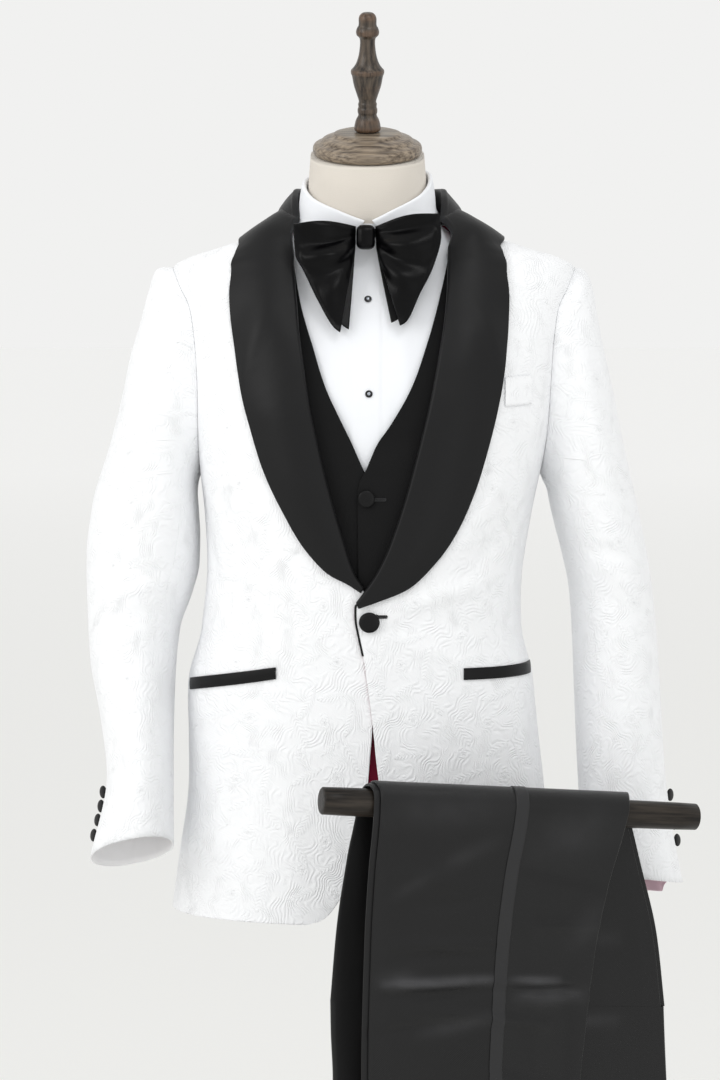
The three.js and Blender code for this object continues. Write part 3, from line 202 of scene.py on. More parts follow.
# Soft folds of the jacket: ends in degrees round it and height, width and rise.
JACKET_FOLDS = (
    (8, 1112, 52, 1148, 9, 1.3),
    (10, 1100, 46, 1066, 8, 1.1),
    (9, 1106, 60, 1104, 12, -0.9),
    (-12, 1116, -58, 1160, 9, 1.3),
    (-14, 1104, -50, 1062, 8, 1.0),
    (-12, 1110, -64, 1108, 12, -0.9),
    (78, 1238, 66, 1150, 11, -2.0),
    (68, 1246, 56, 1172, 8, 1.2),
    (-80, 1236, -66, 1144, 11, -2.0),
    (-69, 1244, -57, 1166, 8, 1.3),
    (58, 1452, 62, 1330, 12, -2.2),
    (50, 1430, 54, 1316, 8, 1.3),
    (-58, 1452, -62, 1326, 12, -2.2),
    (-50, 1436, -55, 1308, 8, 1.3),
    (30, 1010, 26, 820, 16, 1.8),
    (48, 1020, 50, 800, 15, -2.2),
    (68, 1010, 72, 790, 15, 2.0),
    (-34, 1000, -30, 830, 16, 1.6),
    (-52, 1016, -54, 800, 15, -2.2),
    (-72, 1006, -74, 790, 15, 2.2),
    (104, 1030, 100, 800, 15, 2.2),
    (126, 1040, 130, 790, 16, -2.6),
    (150, 1020, 152, 800, 15, 2.0),
    (-102, 1034, -100, 800, 15, 2.0),
    (-124, 1024, -128, 790, 16, -2.4),
    (-148, 1040, -154, 800, 15, 2.4),
    (140, 1182, 180, 1176, 8, -1.4),
    (132, 1160, 180, 1154, 8, 1.4),
    (138, 1136, 176, 1130, 8, -1.2),
    (-142, 1178, -180, 1176, 8, -1.4),
    (-134, 1158, -180, 1154, 8, 1.4),
    (-140, 1132, -178, 1128, 8, -1.0),
    (122, 1410, 112, 1290, 12, -2.0),
    (132, 1400, 124, 1280, 9, 1.3),
    (-122, 1412, -112, 1286, 12, -2.0),
    (-132, 1396, -124, 1276, 9, 1.4),
    (48, 1160, 72, 1238, 12, -3.0),
    (37, 1172, 58, 1264, 12, 2.6),
    (22, 1128, 56, 1148, 10, 1.8),
    (-40, 1160, -66, 1236, 12, -1.8),
    (160, 1470, 180, 1462, 9, -1.0),
    (-160, 1472, -180, 1462, 9, -1.1),
)
MM_PER_DEGREE = 3.0
# Front darts and the centre back seam show as fine pressed lines.
DARTS = (
    (47, 1262, 45, 1072, 1.3, -0.5),
    (-49, 1262, -46, 1068, 1.3, -0.5),
    (74, 1246, 73, 1062, 1.3, -0.35),
    (-74, 1246, -73, 1060, 1.3, -0.35),
)


def section_point(rows, degrees, z):
    """A point of a sectioned body: degrees round from the centre front, and a height."""
    angle = np.radians(degrees)
    depth = np.where(np.cos(angle) > 0, read(rows, "front", z), read(rows, "back", z))
    across = np.abs(np.sin(angle) / read(rows, "width", z)) ** SECTION_POWER
    along = np.abs(np.cos(angle) / depth) ** SECTION_POWER
    reach = (across + along) ** (-1 / SECTION_POWER)
    x, y = reach * np.sin(angle), -reach * np.cos(angle)
    spin = np.radians(read(rows, "turn", z)) if "turn" in rows else 0.0
    tip = read(rows, "tip", z) if "tip" in rows else 0.0
    return points(
        read(rows, "x", z) + x * np.cos(spin) - y * np.sin(spin),
        read(rows, "y", z) + x * np.sin(spin) + y * np.cos(spin),
        z + tip * y,
    )


def normal_of(surface, u, v, du, dv, centre):
    along_u = surface(u + du, v) - surface(u - du, v)
    along_v = surface(u, v + dv) - surface(u, v - dv)
    normal = unit(np.cross(along_u, along_v))
    inward = np.sum(normal * (surface(u, v) - centre), axis=-1, keepdims=True) < 0
    return np.where(inward, -normal, normal)


def lifted_point(rows, degrees, z, lift):
    def surface(a, b):
        return section_point(rows, a, b)

    centre = points(read(rows, "x", z), read(rows, "y", z), z - 60)
    normal = normal_of(surface, degrees, z, 0.5, 0.8, centre)
    return surface(degrees, z) + normal * np.asarray(lift)[..., None]


def degrees_at(rows, x, z):
    """Degrees round a sectioned body of the front point that stands at a given x."""
    low = np.full(np.broadcast(x, z).shape, -90.0)
    return halved(low, -low, lambda degrees: section_point(rows, degrees, z)[..., 0] < x)


def form_point(degrees, z, lift):
    return lifted_point(FORM, degrees, z, lift)


# Meshes.
def mesh_piece(name, verts, faces, uv=None, looks=(), look_of=None, marks=None):
    """A closed mesh in metres, its faces turned outwards, of vertices in mm."""
    corners = np.array([(f[0], f[i], f[i + 1]) for f in faces for i in range(1, len(f) - 1)])
    a, b, c = (verts[corners[:, i]] for i in range(3))
    if np.einsum("ij,ij->", a - verts[0], np.cross(b - verts[0], c - verts[0])) < 0:
        faces = [f[::-1] for f in faces]
    mesh = bpy.data.meshes.new(name)
    mesh.from_pydata((verts * MM).tolist(), [], [list(map(int, f)) for f in faces])
    for look in looks:
        mesh.materials.append(look)
    if look_of is not None:
        mesh.polygons.foreach_set("material_index", np.asarray(look_of, np.int32))
    if uv is not None:
        layer = mesh.uv_layers.new(name="grain")
        owner = np.empty(len(mesh.loops), np.int32)
        mesh.loops.foreach_get("vertex_index", owner)
        layer.data.foreach_set("uv", (uv * MM)[owner].astype(np.float32).ravel())
    for key, values in (marks or {}).items():
        mark = mesh.attributes.new(key, "FLOAT", "POINT")
        mark.data.foreach_set("value", np.asarray(values, np.float32).ravel())
    mesh.polygons.foreach_set("use_smooth", np.ones(len(mesh.polygons), bool))
    mesh.update()
    piece = bpy.data.objects.new(name + "_look", mesh)
    bpy.context.collection.objects.link(piece)
    return piece


LEAST_LEVEL = 0.04  # share of a step's square that is left level, however it leans


def arc_lengths(grid):
    """Flat cloth coordinates of a grid: along the grain from its more level end, and across."""
    along = np.linalg.norm(np.diff(grid, axis=0), axis=-1)
    along = np.concatenate([np.zeros((1, grid.shape[1])), np.cumsum(along, axis=0)])
    if np.ptp(grid[-1, :, 2]) < np.ptp(grid[0, :, 2]):
        along = along - along[-1]
    step = np.linalg.norm(np.diff(grid, axis=1), axis=-1)
    rise = np.diff(along, axis=1)
    step = np.sqrt(np.maximum(step**2 - rise**2, LEAST_LEVEL * step**2))
    across = np.concatenate([np.zeros((len(grid), 1)), np.cumsum(step, axis=1)], axis=1)
    across -= across[:, [grid.shape[1] // 2]]
    return np.stack([across, along], axis=-1)


BODY_MIDDLE = 10  # y of the axis that the body panels' pattern is wrapped round
BODY_ROUND = 150  # its radius


def wrapped(grid):
    """Flat cloth coordinates of a body panel: round the body from its front, and up."""
    turn = np.arctan2(grid[..., 0], BODY_MIDDLE - grid[..., 1])
    return np.stack([turn * BODY_ROUND, grid[..., 2]], axis=-1)


LEAST_CUT = 10.1  # the least width and length, in mm, that a cut's size is given
LEAST_FILL = 0.31  # the least share of its width and length that a cut fills


def cut_size(grid):
    """Width, length and area of the flat cut of a grid, in metres."""
    width = np.linalg.norm(np.diff(grid, axis=1), axis=-1).sum(axis=1).max()
    length = np.linalg.norm(np.diff(grid, axis=0), axis=-1).sum(axis=0).max()
    a = np.cross(grid[1:, :-1] - grid[:-1, :-1], grid[:-1, 1:] - grid[:-1, :-1])
    b = np.cross(grid[1:, :-1] - grid[1:, 1:], grid[:-1, 1:] - grid[1:, 1:])
    area = (np.linalg.norm(a, axis=-1) + np.linalg.norm(b, axis=-1)).sum() / 2
    width, length = max(width, LEAST_CUT) * MM, max(length, LEAST_CUT) * MM
    box = width * length
    return width, length, float(np.clip(area * MM * MM, LEAST_FILL * box, box))


def declare_cut(outer, inner):
    width, length, area = cut_size((outer + inner) / 2)


def cloth(name, outer, inner, face, back=None, roll=0.15, flatten=arc_lengths):
    """A shell of cloth between two grids, its edge rounded by a middle ring."""
    rows, cols = outer.shape[:2]
    count = rows * cols
    index = np.arange(count).reshape(rows, cols)
    ring = np.concatenate(
        [index[0, :-1], index[:-1, -1], index[-1, :0:-1], index[:0:-1, 0]]
    )
    flat = outer.reshape(-1, 3)
    under = inner.reshape(-1, 3)
    away = np.zeros_like(outer)
    away[0] += unit(outer[0] - outer[1])
    away[-1] += unit(outer[-1] - outer[-2])
    away[:, 0] += unit(outer[:, 0] - outer[:, 1])
    away[:, -1] += unit(outer[:, -1] - outer[:, -2])
    edge = (flat[ring] + under[ring]) / 2 + unit(away.reshape(-1, 3)[ring]) * roll
    verts = np.concatenate([flat, under, edge])
    a, b, c, d = index[:-1, :-1], index[:-1, 1:], index[1:, 1:], index[1:, :-1]
    top = np.stack([a, b, c, d], axis=-1).reshape(-1, 4)
    bottom = top[:, ::-1] + count
    here, turn = ring, np.arange(len(ring)) + 2 * count
    here2, turn2 = np.roll(ring, -1), np.roll(turn, -1)
    rim = np.concatenate(
        [
            np.stack([here2, here, turn, turn2], axis=-1),
            np.stack([turn2, turn, here + count, here2 + count], axis=-1),
        ]
    )
    faces = np.concatenate([top, bottom, rim])
    uv = flatten(outer).reshape(-1, 2)
    uv = np.concatenate([uv, uv, uv[ring]])
    look_of = np.zeros(len(faces), np.int32)
    looks = [face]
    if back is not None:
        looks.append(back)
        look_of[len(top) : 2 * len(top)] = 1
        look_of[-len(ring) :] = 1
    return mesh_piece(name, verts, faces.tolist(), uv, looks, look_of)


def wear_piece(piece, slot, *nodes):
    """Hangs a piece on the part's one body, in the place of the solids that it stands for."""
    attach(piece, "root")
    if nodes:
        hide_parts(*nodes)


def cloth_piece(
    name, place, us, vs, thickness, face, slot, rests_on,
    back=None, roll=0.15, stands_for=True, flatten=arc_lengths
):
    """One cut of cloth, which mostly stands for the solid of the same name."""
    u, v = np.meshgrid(us, vs)
    outer, inner = place(u, v, 0.0), place(u, v, thickness)
    piece = cloth(name, outer, inner, face, back, roll, flatten)
    wear_piece(piece, slot, *([name] if stands_for else []))
    declare_cut(outer, inner)
    return piece


# Materials.
def srgb(code):
    """A hex colour as linear values."""
    values = [int(code[i : i + 2], 16) / 255 for i in (1, 3, 5)]
    linear = [v / 12.92 if v <= 0.04045 else ((v + 0.055) / 1.055) ** 2.4 for v in values]
    return (*linear, 1.0)


def add_node(tree, kind, *values, **named):
    """Adds a node, whose kind may end in its operation, and fills it in.

    Values go to the inputs in order. A name in lower case is a setting, _6 is input 6, and any
    other name is an input's. A node given as a value is linked by its first output.
    """
    kind, _, operation = kind.partition(" ")
    node = tree.nodes.new(kind if "Node" in kind else "ShaderNode" + kind)
    if operation:
        node.operation = operation
    inputs = dict(enumerate(values))
    for key, value in named.items():
        if key[0] == "_":
            inputs[int(key[1:])] = value
        elif key[0].islower():
            setattr(node, key, value)
        else:
            inputs[key.replace("_", " ")] = value
    for place, value in inputs.items():
        if isinstance(value, bpy.types.Node):
            value = value.outputs[0]
        if isinstance(value, bpy.types.NodeSocket):
            tree.links.new(value, node.inputs[place])
        else:
            node.inputs[place].default_value = value
    return node


def shader_of(tree):
    return next(node for node in tree.nodes if node.type == "BSDF_PRINCIPLED")


def new_material(name, code=None, **values):
    """A material with a colour, and the shader's values by name."""
    look = bpy.data.materials.new(name)
    look.use_nodes = True
    shader = shader_of(look.node_tree)
    if code:
        shader.inputs["Base Color"].default_value = srgb(code)
    for key, value in values.items():
        shader.inputs[key.replace("_", " ")].default_value = value
    return look, look.node_tree, shader


def grain_of(tree):
    """The piece's own cloth coordinates: metres across and along the cut."""
    return add_node(tree, "UVMap", uv_map="grain")


def bumped(tree, shader, height, distance, strength):
    """Turns a height into relief: the distance is in mm."""
    bump = add_node(tree, "Bump", Strength=strength, Distance=distance * MM, Height=height)
    tree.links.new(bump.outputs["Normal"], shader.inputs["Normal"])


def coloured(tree, shader, share, low, high):
    """Gives the shader a colour that goes from low to high with a share."""
    colour = add_node(tree, "Mix", share, _6=low, _7=high, data_type="RGBA")
    tree.links.new(colour.outputs[2], shader.inputs["Base Color"])


def ridges(tree, distance, spacing):
    """A wave with one ridge to each spacing of a distance."""
    return add_node(tree, "Math SINE", add_node(tree, "Math MULTIPLY", distance, math.tau / spacing))


def weave(tree, grain, spacing, slant=0.0):
    """Height of a weave: crossing threads at a spacing in mm; a slant makes it a twill."""
    turned = add_node(
        tree, "Mapping", grain,
        Rotation=(0, 0, math.radians(slant)), Scale=(1 / (spacing * MM),) * 3,
    )
    split = add_node(tree, "SeparateXYZ", turned)
    warp = ridges(tree, split.outputs[0], 1)
    return warp if slant else add_node(tree, "Math MULTIPLY", warp, ridges(tree, split.outputs[1], 1))


def cloudy(tree, grain, size, detail=2.0):
    """Slow unevenness of a surface, its patches a size in mm across."""
    return add_node(tree, "TexNoise", Vector=grain, Scale=1 / (size * MM), Detail=detail)


# The jacquard's repeat in mm: leaves and rosettes woven in relief, a generic floral.
REPEAT = (92.0, 124.0)
LEAVES = (
    # centre x and y in the repeat, turn in degrees, half length, half width
    (-24, 34, 62, 21, 7.5),
    (-31, 6, 118, 19, 7),
    (6, 44, 8, 18, 6.5),
    (27, 18, 74, 20, 7.5),
    (30, -22, 128, 18, 6.5),
    (-26, -42, 22, 19, 7),
    (2, -12, 35, 15, 6),
)
ROSETTES = (
    # centre x and y, radius, petals
    (-4, 16, 12.5, 6),
    (10, -42, 14, 7),
    (-29, -16, 10.5, 5),
)
RIDGE = 4.3  # spacing of the raised ridges inside a motif
HALF_DROP = 0.5  # of the repeat, from one column to the next
WANDER = (0.012, 0.012, 0)  # metres that the repeat strays, so that no row looks ruled
WANDER_PATCHES = 22.0  # to the metre
VEIN_SLOPE = 0.9
PETAL_CURL = 0.12  # radians to the mm
PETAL_DEPTH = 0.16  # of the radius, either side of the rosette's rim
RIDGE_RISE = {"leaf": (0.24, 0.6), "rosette": (0.26, 0.6), "scroll": (0.3, 0.32)}
STEEPNESS = {"leaf": 1.8, "rosette": 2.4, "scroll": 6.0}  # of a motif's rise from its rim
SCROLL_BEND = {"patch": 34, "reach": 74.0, "detail": 1.5, "spacing": RIDGE * 1.1}
SCROLL_PATCH = {"size": 15.0, "least": 0.34}


def repeat_cell(tree, grain):
    """Coordinates in mm inside one repeat of the jacquard, every other column half dropped."""
    drift = add_node(tree, "TexNoise", Vector=grain, Scale=WANDER_PATCHES, Detail=1.0)
    shifted = add_node(tree, "VectorMath MULTIPLY_ADD", drift.outputs["Color"], WANDER, grain)
    split = add_node(tree, "SeparateXYZ", shifted)
    u, v = (add_node(tree, "Math DIVIDE", split.outputs[i], REPEAT[i] * MM) for i in (0, 1))
    drop = add_node(tree, "Math MULTIPLY", add_node(tree, "Math FLOOR", u), HALF_DROP)
    v = add_node(tree, "Math ADD", v, drop)
    x, y = (
        add_node(tree, "Math MULTIPLY_ADD", add_node(tree, "Math FRACT", share), size, -size / 2)
        for share, size in zip((u, v), REPEAT)
    )
    return add_node(tree, "CombineXYZ", x, y)


def raised(tree, motif, reach, rim, wave):
    """Height of a motif that rises from its rim and bears ridges."""
    inside = add_node(tree, "Math SUBTRACT", 1.0, add_node(tree, "Math DIVIDE", reach, rim))
    body = add_node(tree, "Math MULTIPLY", inside, STEEPNESS[motif], use_clamp=True)
    relief = add_node(tree, "Math MULTIPLY_ADD", wave, *RIDGE_RISE[motif])
    return add_node(tree, "Math MULTIPLY", body, relief)


def leaf_height(tree, cell, x, y, turn, half, width):
    """A pointed leaf with feathered veins."""
    local = add_node(
        tree, "Mapping", cell, vector_type="TEXTURE",
        Location=(x, y, 0), Rotation=(0, 0, math.radians(turn)),
    )
    split = add_node(tree, "SeparateXYZ", local)
    along = split.outputs[0]
    off = add_node(tree, "Math ABSOLUTE", split.outputs[1])
    share = add_node(tree, "Math DIVIDE", along, half)
    belly = add_node(tree, "Math SUBTRACT", 1.0, add_node(tree, "Math MULTIPLY", share, share))
    belly = add_node(tree, "Math MULTIPLY", add_node(tree, "Math MAXIMUM", belly, 0.001), width)
    vein = add_node(tree, "Math MULTIPLY_ADD", off, VEIN_SLOPE, along)
    return raised(tree, "leaf", off, belly, ridges(tree, vein, RIDGE))


def rosette_height(tree, cell, x, y, radius, petals):
    """A round flower of curled petals."""
    local = add_node(tree, "VectorMath SUBTRACT", cell, (x, y, 0))
    split = add_node(tree, "SeparateXYZ", local)
    reach = add_node(tree, "VectorMath LENGTH", local).outputs["Value"]
    turn = add_node(tree, "Math ARCTAN2", split.outputs[1], split.outputs[0])
    curl = add_node(tree, "Math MULTIPLY_ADD", reach, PETAL_CURL, turn)
    lobe = add_node(tree, "Math COSINE", add_node(tree, "Math MULTIPLY", curl, petals))
    rim = (PETAL_DEPTH * radius, (1 - PETAL_DEPTH) * radius)
    rim = add_node(tree, "Math MULTIPLY_ADD", lobe, *rim)
    ring = add_node(tree, "Math MULTIPLY_ADD", lobe, 0.8, reach)
    return raised(tree, "rosette", reach, rim, ridges(tree, ring, RIDGE))


def scroll_height(tree):
    """Flowing raised cords that fill the ground between the flowers, in loose patches."""
    place = add_node(tree, "TexCoord").outputs["Object"]
    drift = cloudy(tree, place, SCROLL_BEND["patch"], SCROLL_BEND["detail"])
    across = add_node(tree, "SeparateXYZ", place)
    across = add_node(tree, "Math DIVIDE", across, MM)
    bent = add_node(tree, "Math MULTIPLY_ADD", drift, SCROLL_BEND["reach"], across)
    cord = ridges(tree, bent, SCROLL_BEND["spacing"])
    cord = add_node(tree, "Math MULTIPLY_ADD", cord, *RIDGE_RISE["scroll"])
    patch = cloudy(tree, place, SCROLL_PATCH["size"], 1.0)
    patch = add_node(tree, "Math SUBTRACT", patch, SCROLL_PATCH["least"])
    patch = add_node(tree, "Math MULTIPLY", patch, STEEPNESS["scroll"], use_clamp=True)
    return add_node(tree, "Math MULTIPLY", cord, patch)


def jacquard_material():
    """White figured jacquard: a matt satin ground with the flowers woven up in relief.

    The eye sees pale ridges that catch the side light, and no change of colour.
    """
    look, tree, shader = new_material(
        "white_floral_jacquard", "#f5f6f8", Roughness=0.52, Specular_IOR_Level=0.4,
        Sheen_Weight=0.15, Sheen_Roughness=0.4,
    )
    grain = grain_of(tree)
    cell = repeat_cell(tree, grain)
    height = scroll_height(tree)
    for motif, places in ((leaf_height, LEAVES), (rosette_height, ROSETTES)):
        for place in places:
            height = add_node(tree, "Math MAXIMUM", height, motif(tree, cell, *place))
    # threads of the ground, drawn at 1.6 mm so that they show at this distance
    threads = weave(tree, grain, 1.6, 63)
    bumped(tree, shader, add_node(tree, "Math MULTIPLY_ADD", threads, 0.06, height), 0.9, 0.85)
    return look


def satin_material(name, code, rough, threads=1.3):
    """Acetate satin: near black, smooth across the light, with a broad soft sheen."""
    look, tree, shader = new_material(
        name, code, Roughness=rough, Specular_IOR_Level=0.2, Sheen_Weight=0.03,
        Sheen_Roughness=0.35,
    )
    grain = grain_of(tree)
    fine = add_node(tree, "Math MULTIPLY", weave(tree, grain, threads, 74), 0.06)
    slow = cloudy(tree, grain, 26.0)
    bumped(tree, shader, add_node(tree, "Math MULTIPLY_ADD", slow, 1.6, fine), 0.5, 0.6)
    return look


def plain_cloth_material(
    name, code, rough, spacing, slant=0.0, sheen=0.04, distance=0.25, gloss=0.16
):
    """Woven cloth: matt, with its threads just showing."""
    look, tree, shader = new_material(
        name, code, Roughness=rough, Specular_IOR_Level=gloss, Sheen_Weight=sheen,
        Sheen_Roughness=0.5,
    )
    bumped(tree, shader, weave(tree, grain_of(tree), spacing, slant), distance, 0.6)
    return look


def painted_crease_sheen(look, low, high):
    """Painted highlight: a dull grey sheen on the crease crests, set where light catches them, uneven
    in patches.
    """
    tree = look.node_tree
    wear_and_painted_sheen = add_node(tree, "Attribute", attribute_name="wear_and_painted_sheen").outputs["Fac"]
    uneven = add_node(tree, "Math MULTIPLY_ADD", cloudy(tree, grain_of(tree), 30.0), 1.4, 0.3)
    share = add_node(tree, "Math MULTIPLY", wear_and_painted_sheen, uneven)
    coloured(tree, shader_of(tree), share, srgb(low), srgb(high))
    return look


def velvet_material():
    """Silk velvet: the pile swallows light face on and glows along turned edges."""
    look, tree, shader = new_material(
        "black_silk_velvet", "#020203", Roughness=0.3, Specular_IOR_Level=0.13,
        Sheen_Weight=0.05, Sheen_Roughness=0.2, Sheen_Tint=srgb("#c3c8d8"),
    )
    grain = grain_of(tree)
    pile = cloudy(tree, grain, 1.4, 3.0)
    brushed = cloudy(tree, grain, 12.0, 1.0)
    bumped(tree, shader, add_node(tree, "Math MULTIPLY_ADD", brushed, 2.2, pile), 0.35, 0.55)
    return look


def wood_material(name, low, high, gloss=0.42):
    """Turned hardwood under dark stain: grain along the piece, ridges rubbed to warm brown."""
    look, tree, shader = new_material(name, Roughness=0.36, Specular_IOR_Level=gloss)
    fibre = add_node(tree, "Attribute", attribute_name="fibre").outputs["Vector"]
    streak = add_node(tree, "TexNoise", Vector=fibre, Scale=1.0, Detail=5.0, Roughness=0.62)
    tone = add_node(tree, "ValToRGB", streak)
    for stop, at, code in zip(tone.color_ramp.elements, (0.34, 0.68), (low, high)):
        stop.position, stop.color = at, srgb(code)
    wear = add_node(tree, "Attribute", attribute_name="wear").outputs["Fac"]
    uneven = add_node(tree, "Math MULTIPLY_ADD", streak, 1.6, -0.25)
    wear_and_painted_sheen = add_node(tree, "Math MULTIPLY", wear, uneven)
    coloured(tree, shader, wear_and_painted_sheen, tone, srgb("#6f5440"))
    bumped(tree, shader, streak, 0.5, 0.6)
    return look


def linen_material():
    """Unbleached linen stretched over the form: cream, with slubs in the weave."""
    look, tree, shader = new_material(
        "unbleached_linen", "#ddd6cc", Roughness=0.85, Sheen_Weight=0.1
    )
    grain = grain_of(tree)
    slub = add_node(tree, "Mapping", grain, Scale=(1 / (9 * MM), 1 / (1.2 * MM), 1))
    noise = add_node(tree, "TexNoise", Vector=slub, Scale=1.0, Detail=2.0)
    threads = weave(tree, grain, 1.1)
    bumped(tree, shader, add_node(tree, "Math MULTIPLY_ADD", threads, 0.4, noise), 0.3, 0.7)
    return look


JACQUARD = jacquard_material()
# black shawl satin: a broad grey sheen down the roll
COLLAR_SATIN = satin_material("black_collar_satin", "#141415", 0.44)
TRIM_SATIN = satin_material("black_trim_satin", "#0b0b0c", 0.36)
# body lining, wine red, seen in the front gap and up the skirt
LINING = satin_material("wine_red_lining", "#8a1236", 0.34)
# sleeve linings: pale pink in the left sleeve, near white in the right
SLEEVE_LINING = {
    1: satin_material("pale_pink_lining", "#dcc0ca", 0.4),
    -1: satin_material("off_white_lining", "#fbfafb", 0.4),
}
# fine worsted, almost matt black
WORSTED = plain_cloth_material("black_fine_worsted", "#0c0c0d", 0.62, 1.2, 60)
# shirt poplin: cool white, smooth, its threads too fine to count
POPLIN = plain_cloth_material(
    "white_cotton_poplin", "#f4f6fa", 0.7, 0.9, sheen=0.1, distance=0.12
)
# trouser barathea: a close black weave, with a painted dull grey highlight along its crease crests
BARATHEA = plain_cloth_material(
    "black_trouser_barathea", "#0a0a0b", 0.38, 1.5, 55, distance=0.12, gloss=0.3
)
TROUSER_CLOTH_LOOK = painted_crease_sheen(BARATHEA, "#0a0a0b", "#3b3b3d")
# the side stripe: brushed satin, a shade lighter than the cloth
STRIPE_SATIN = satin_material("brushed_stripe_satin", "#2c2c2d", 0.4, 0.9)
VELVET = velvet_material()
LINEN = linen_material()
WOOD = wood_material("stained_turned_wood", "#14100d", "#5c5044")
# The neck cap's stain is rubbed back: pale streaks between dark grain.
CAP_WOOD = wood_material("rubbed_cap_wood", "#3a3028", "#a89a86")
# the bar is stained darker, almost black between its grain lines
BAR_WOOD = wood_material("dark_bar_wood", "#060505", "#38322c", 0.2)
# black powder-coated steel: even, with a soft broad gloss
STEEL = new_material("powder_coated_steel", "#151517", Roughness=0.38)[0]
# polished onyx rim of the studs: deep black with a sharp highlight
ONYX = new_material("polished_onyx", "#0c0d10", Roughness=0.12)[0]
# plated centre of the studs: a small grey glint
PLATED = new_material("plated_centre", "#aeb2ba", Metallic=1.0, Roughness=0.25)[0]
# sewing thread: black silk for the buttonholes, white cotton for the collar's edge
THREAD_BLACK = new_material("black_silk_thread", "#1d1d1f", Roughness=0.5)[0]
THREAD_WHITE = new_material("white_cotton_thread", "#eef0f4", Roughness=0.6)[0]


# Jacket body.
ARMHOLE = {"y": 10, "z": 1373, "half_depth": 64, "half_height": 110, "gap": 0.25}
LAP_LIFT = 3.4
LAP_FADE = 34
FRONT_EDGE_LEFT = table(
    "z x",
    (787, 84), (791, 68), (800, 55), (820, 41), (855, 26), (900, 15), (950, 8),
    (1015, 1), (1060, -5), (1095, -12), (1112, -15), (1127, -15),
)
FRONT_EDGE_RIGHT = table(
    "z x",
    (787, -69), (791, -54), (800, -43), (820, -30), (855, -16), (900, -8), (950, -2),
    (1015, 3), (1060, 9), (1095, 14), (1112, 15), (1131, 6),
)


def lap_lift(side, degrees, z):
    if side < 0:
        return 0.0 * (degrees + z)
    near = 1 - smooth(np.abs(degrees) / LAP_FADE)
    return LAP_LIFT * near * (1 - smooth((z - 1180) / 80))


def body_folds(degrees, z):
    """Folds fade out at the front edges, under the collar and at the armholes."""
    across = degrees * MM_PER_DEGREE
    folds, darts = scaled(JACKET_FOLDS, MM_PER_DEGREE), scaled(DARTS, MM_PER_DEGREE)
    shoulder = 1 - smooth((z - 1440) / 50)
    return (soft_lines(folds, across, z) + soft_lines(darts, across, z)) * shoulder


def jacket_point(side, degrees, z, lift):
    rise = lift + lap_lift(side, degrees, z) + body_folds(degrees, z)
    return lifted_point(JACKET, degrees, z, rise)


def armhole_reach(z, grow):
    rise = np.abs(z - ARMHOLE["z"]) / (ARMHOLE["half_height"] + grow)
    inside = np.clip(1 - rise**2.2, 0, None)
    return np.where(rise < 1, (ARMHOLE["half_depth"] + grow) * inside ** (1 / 2.2), -1.0)


def mirrored(side, z, y):
    """Degrees from the front, either side, of the side point at a given y."""
    low = np.full(np.broadcast(z, y).shape, 20.0)
    return halved(
        low, 180 - low, lambda degrees: section_point(JACKET, side * degrees, z)[..., 1] < y
    )


def side_degrees(side, z, back):
    half_seam = np.degrees(SEAM / 2 / read(JACKET, "width", z))
    seam = 90 + half_seam if back else 90 - half_seam
    reach = armhole_reach(z, ARMHOLE["gap"])
    edge = mirrored(side, z, ARMHOLE["y"] + (reach if back else -reach))
    edge = np.maximum(edge, seam) if back else np.minimum(edge, seam)
    return side * np.where(reach < 0, seam, edge)


NECK_RADIUS = 70  # of the jacket at its centre back seam
CENTRE_BACK = 180 - math.degrees(SEAM / 2 / NECK_RADIUS)
SHAWL_COLUMNS = "rollX rollZ edgeX edgeZ bulge under radius"
SHAWL_LEFT = table(
    SHAWL_COLUMNS,
    (-15, 1131, -12, 1125, 0, 1.5, 3),
    (-6, 1143, 8, 1132, 0.5, 3, 3.4),
    (4, 1158, 39, 1145, 1.5, 4, 4),
    (16, 1182, 68, 1173, 3, 5, 4.4),
    (27, 1212, 91, 1208, 4, 5, 4.4),
    (42, 1262, 113, 1262, 5, 5, 4.4),
    (58, 1325, 131, 1330, 5, 5, 4.4),
    (71, 1390, 141, 1392, 5, 5, 4.4),
    (79, 1446, 145, 1440, 5, 5, 4.4),
    (81, 1490, 143, 1478, 6, 7, 4.4),
    (78, 1528, 137, 1502, 9, 12, 4.4),
)
SHAWL_RIGHT = table(
    SHAWL_COLUMNS,
    (-7, 1146, -10, 1141, 0, 1.5, 3),
    (-15, 1158, -24, 1150, 0.6, 2.4, 3.6),
    (-20, 1170, -43, 1160, 1.5, 4, 4),
    (-28, 1196, -69, 1188, 3, 5, 4.4),
    (-38, 1230, -91, 1226, 4, 5, 4.4),
    (-49, 1272, -112, 1272, 5, 5, 4.4),
    (-61, 1325, -129, 1330, 5, 5, 4.4),
    (-71, 1390, -141, 1392, 5, 5, 4.4),
    (-77, 1446, -147, 1440, 5, 5, 4.4),
    (-80, 1490, -146, 1478, 6, 7, 4.4),
    (-78, 1528, -139, 1502, 9, 12, 4.4),
)
SHAWL_NECK = table(
    "roll rollZ edge edgeZ bulge under radius",
    (86, 1560, 90, 1514, 13, 26, 3.6),
    (104, 1568, 108, 1514, 14, 32, 3.6),
    (128, 1569, 128, 1508, 14, 33, 3.6),
    (154, 1568, 154, 1499, 13, 34, 3.6),
    (180, 1567, 180, 1495, 12, 34, 3.6),
)
SHAWL_KEYS = ("roll", "rollZ", "edge", "edgeZ", "bulge", "under", "radius")
COLLAR_LIFT = 4.6
COLLAR_CLOTH = 2.2
COLLAR_SEAM = 2.2


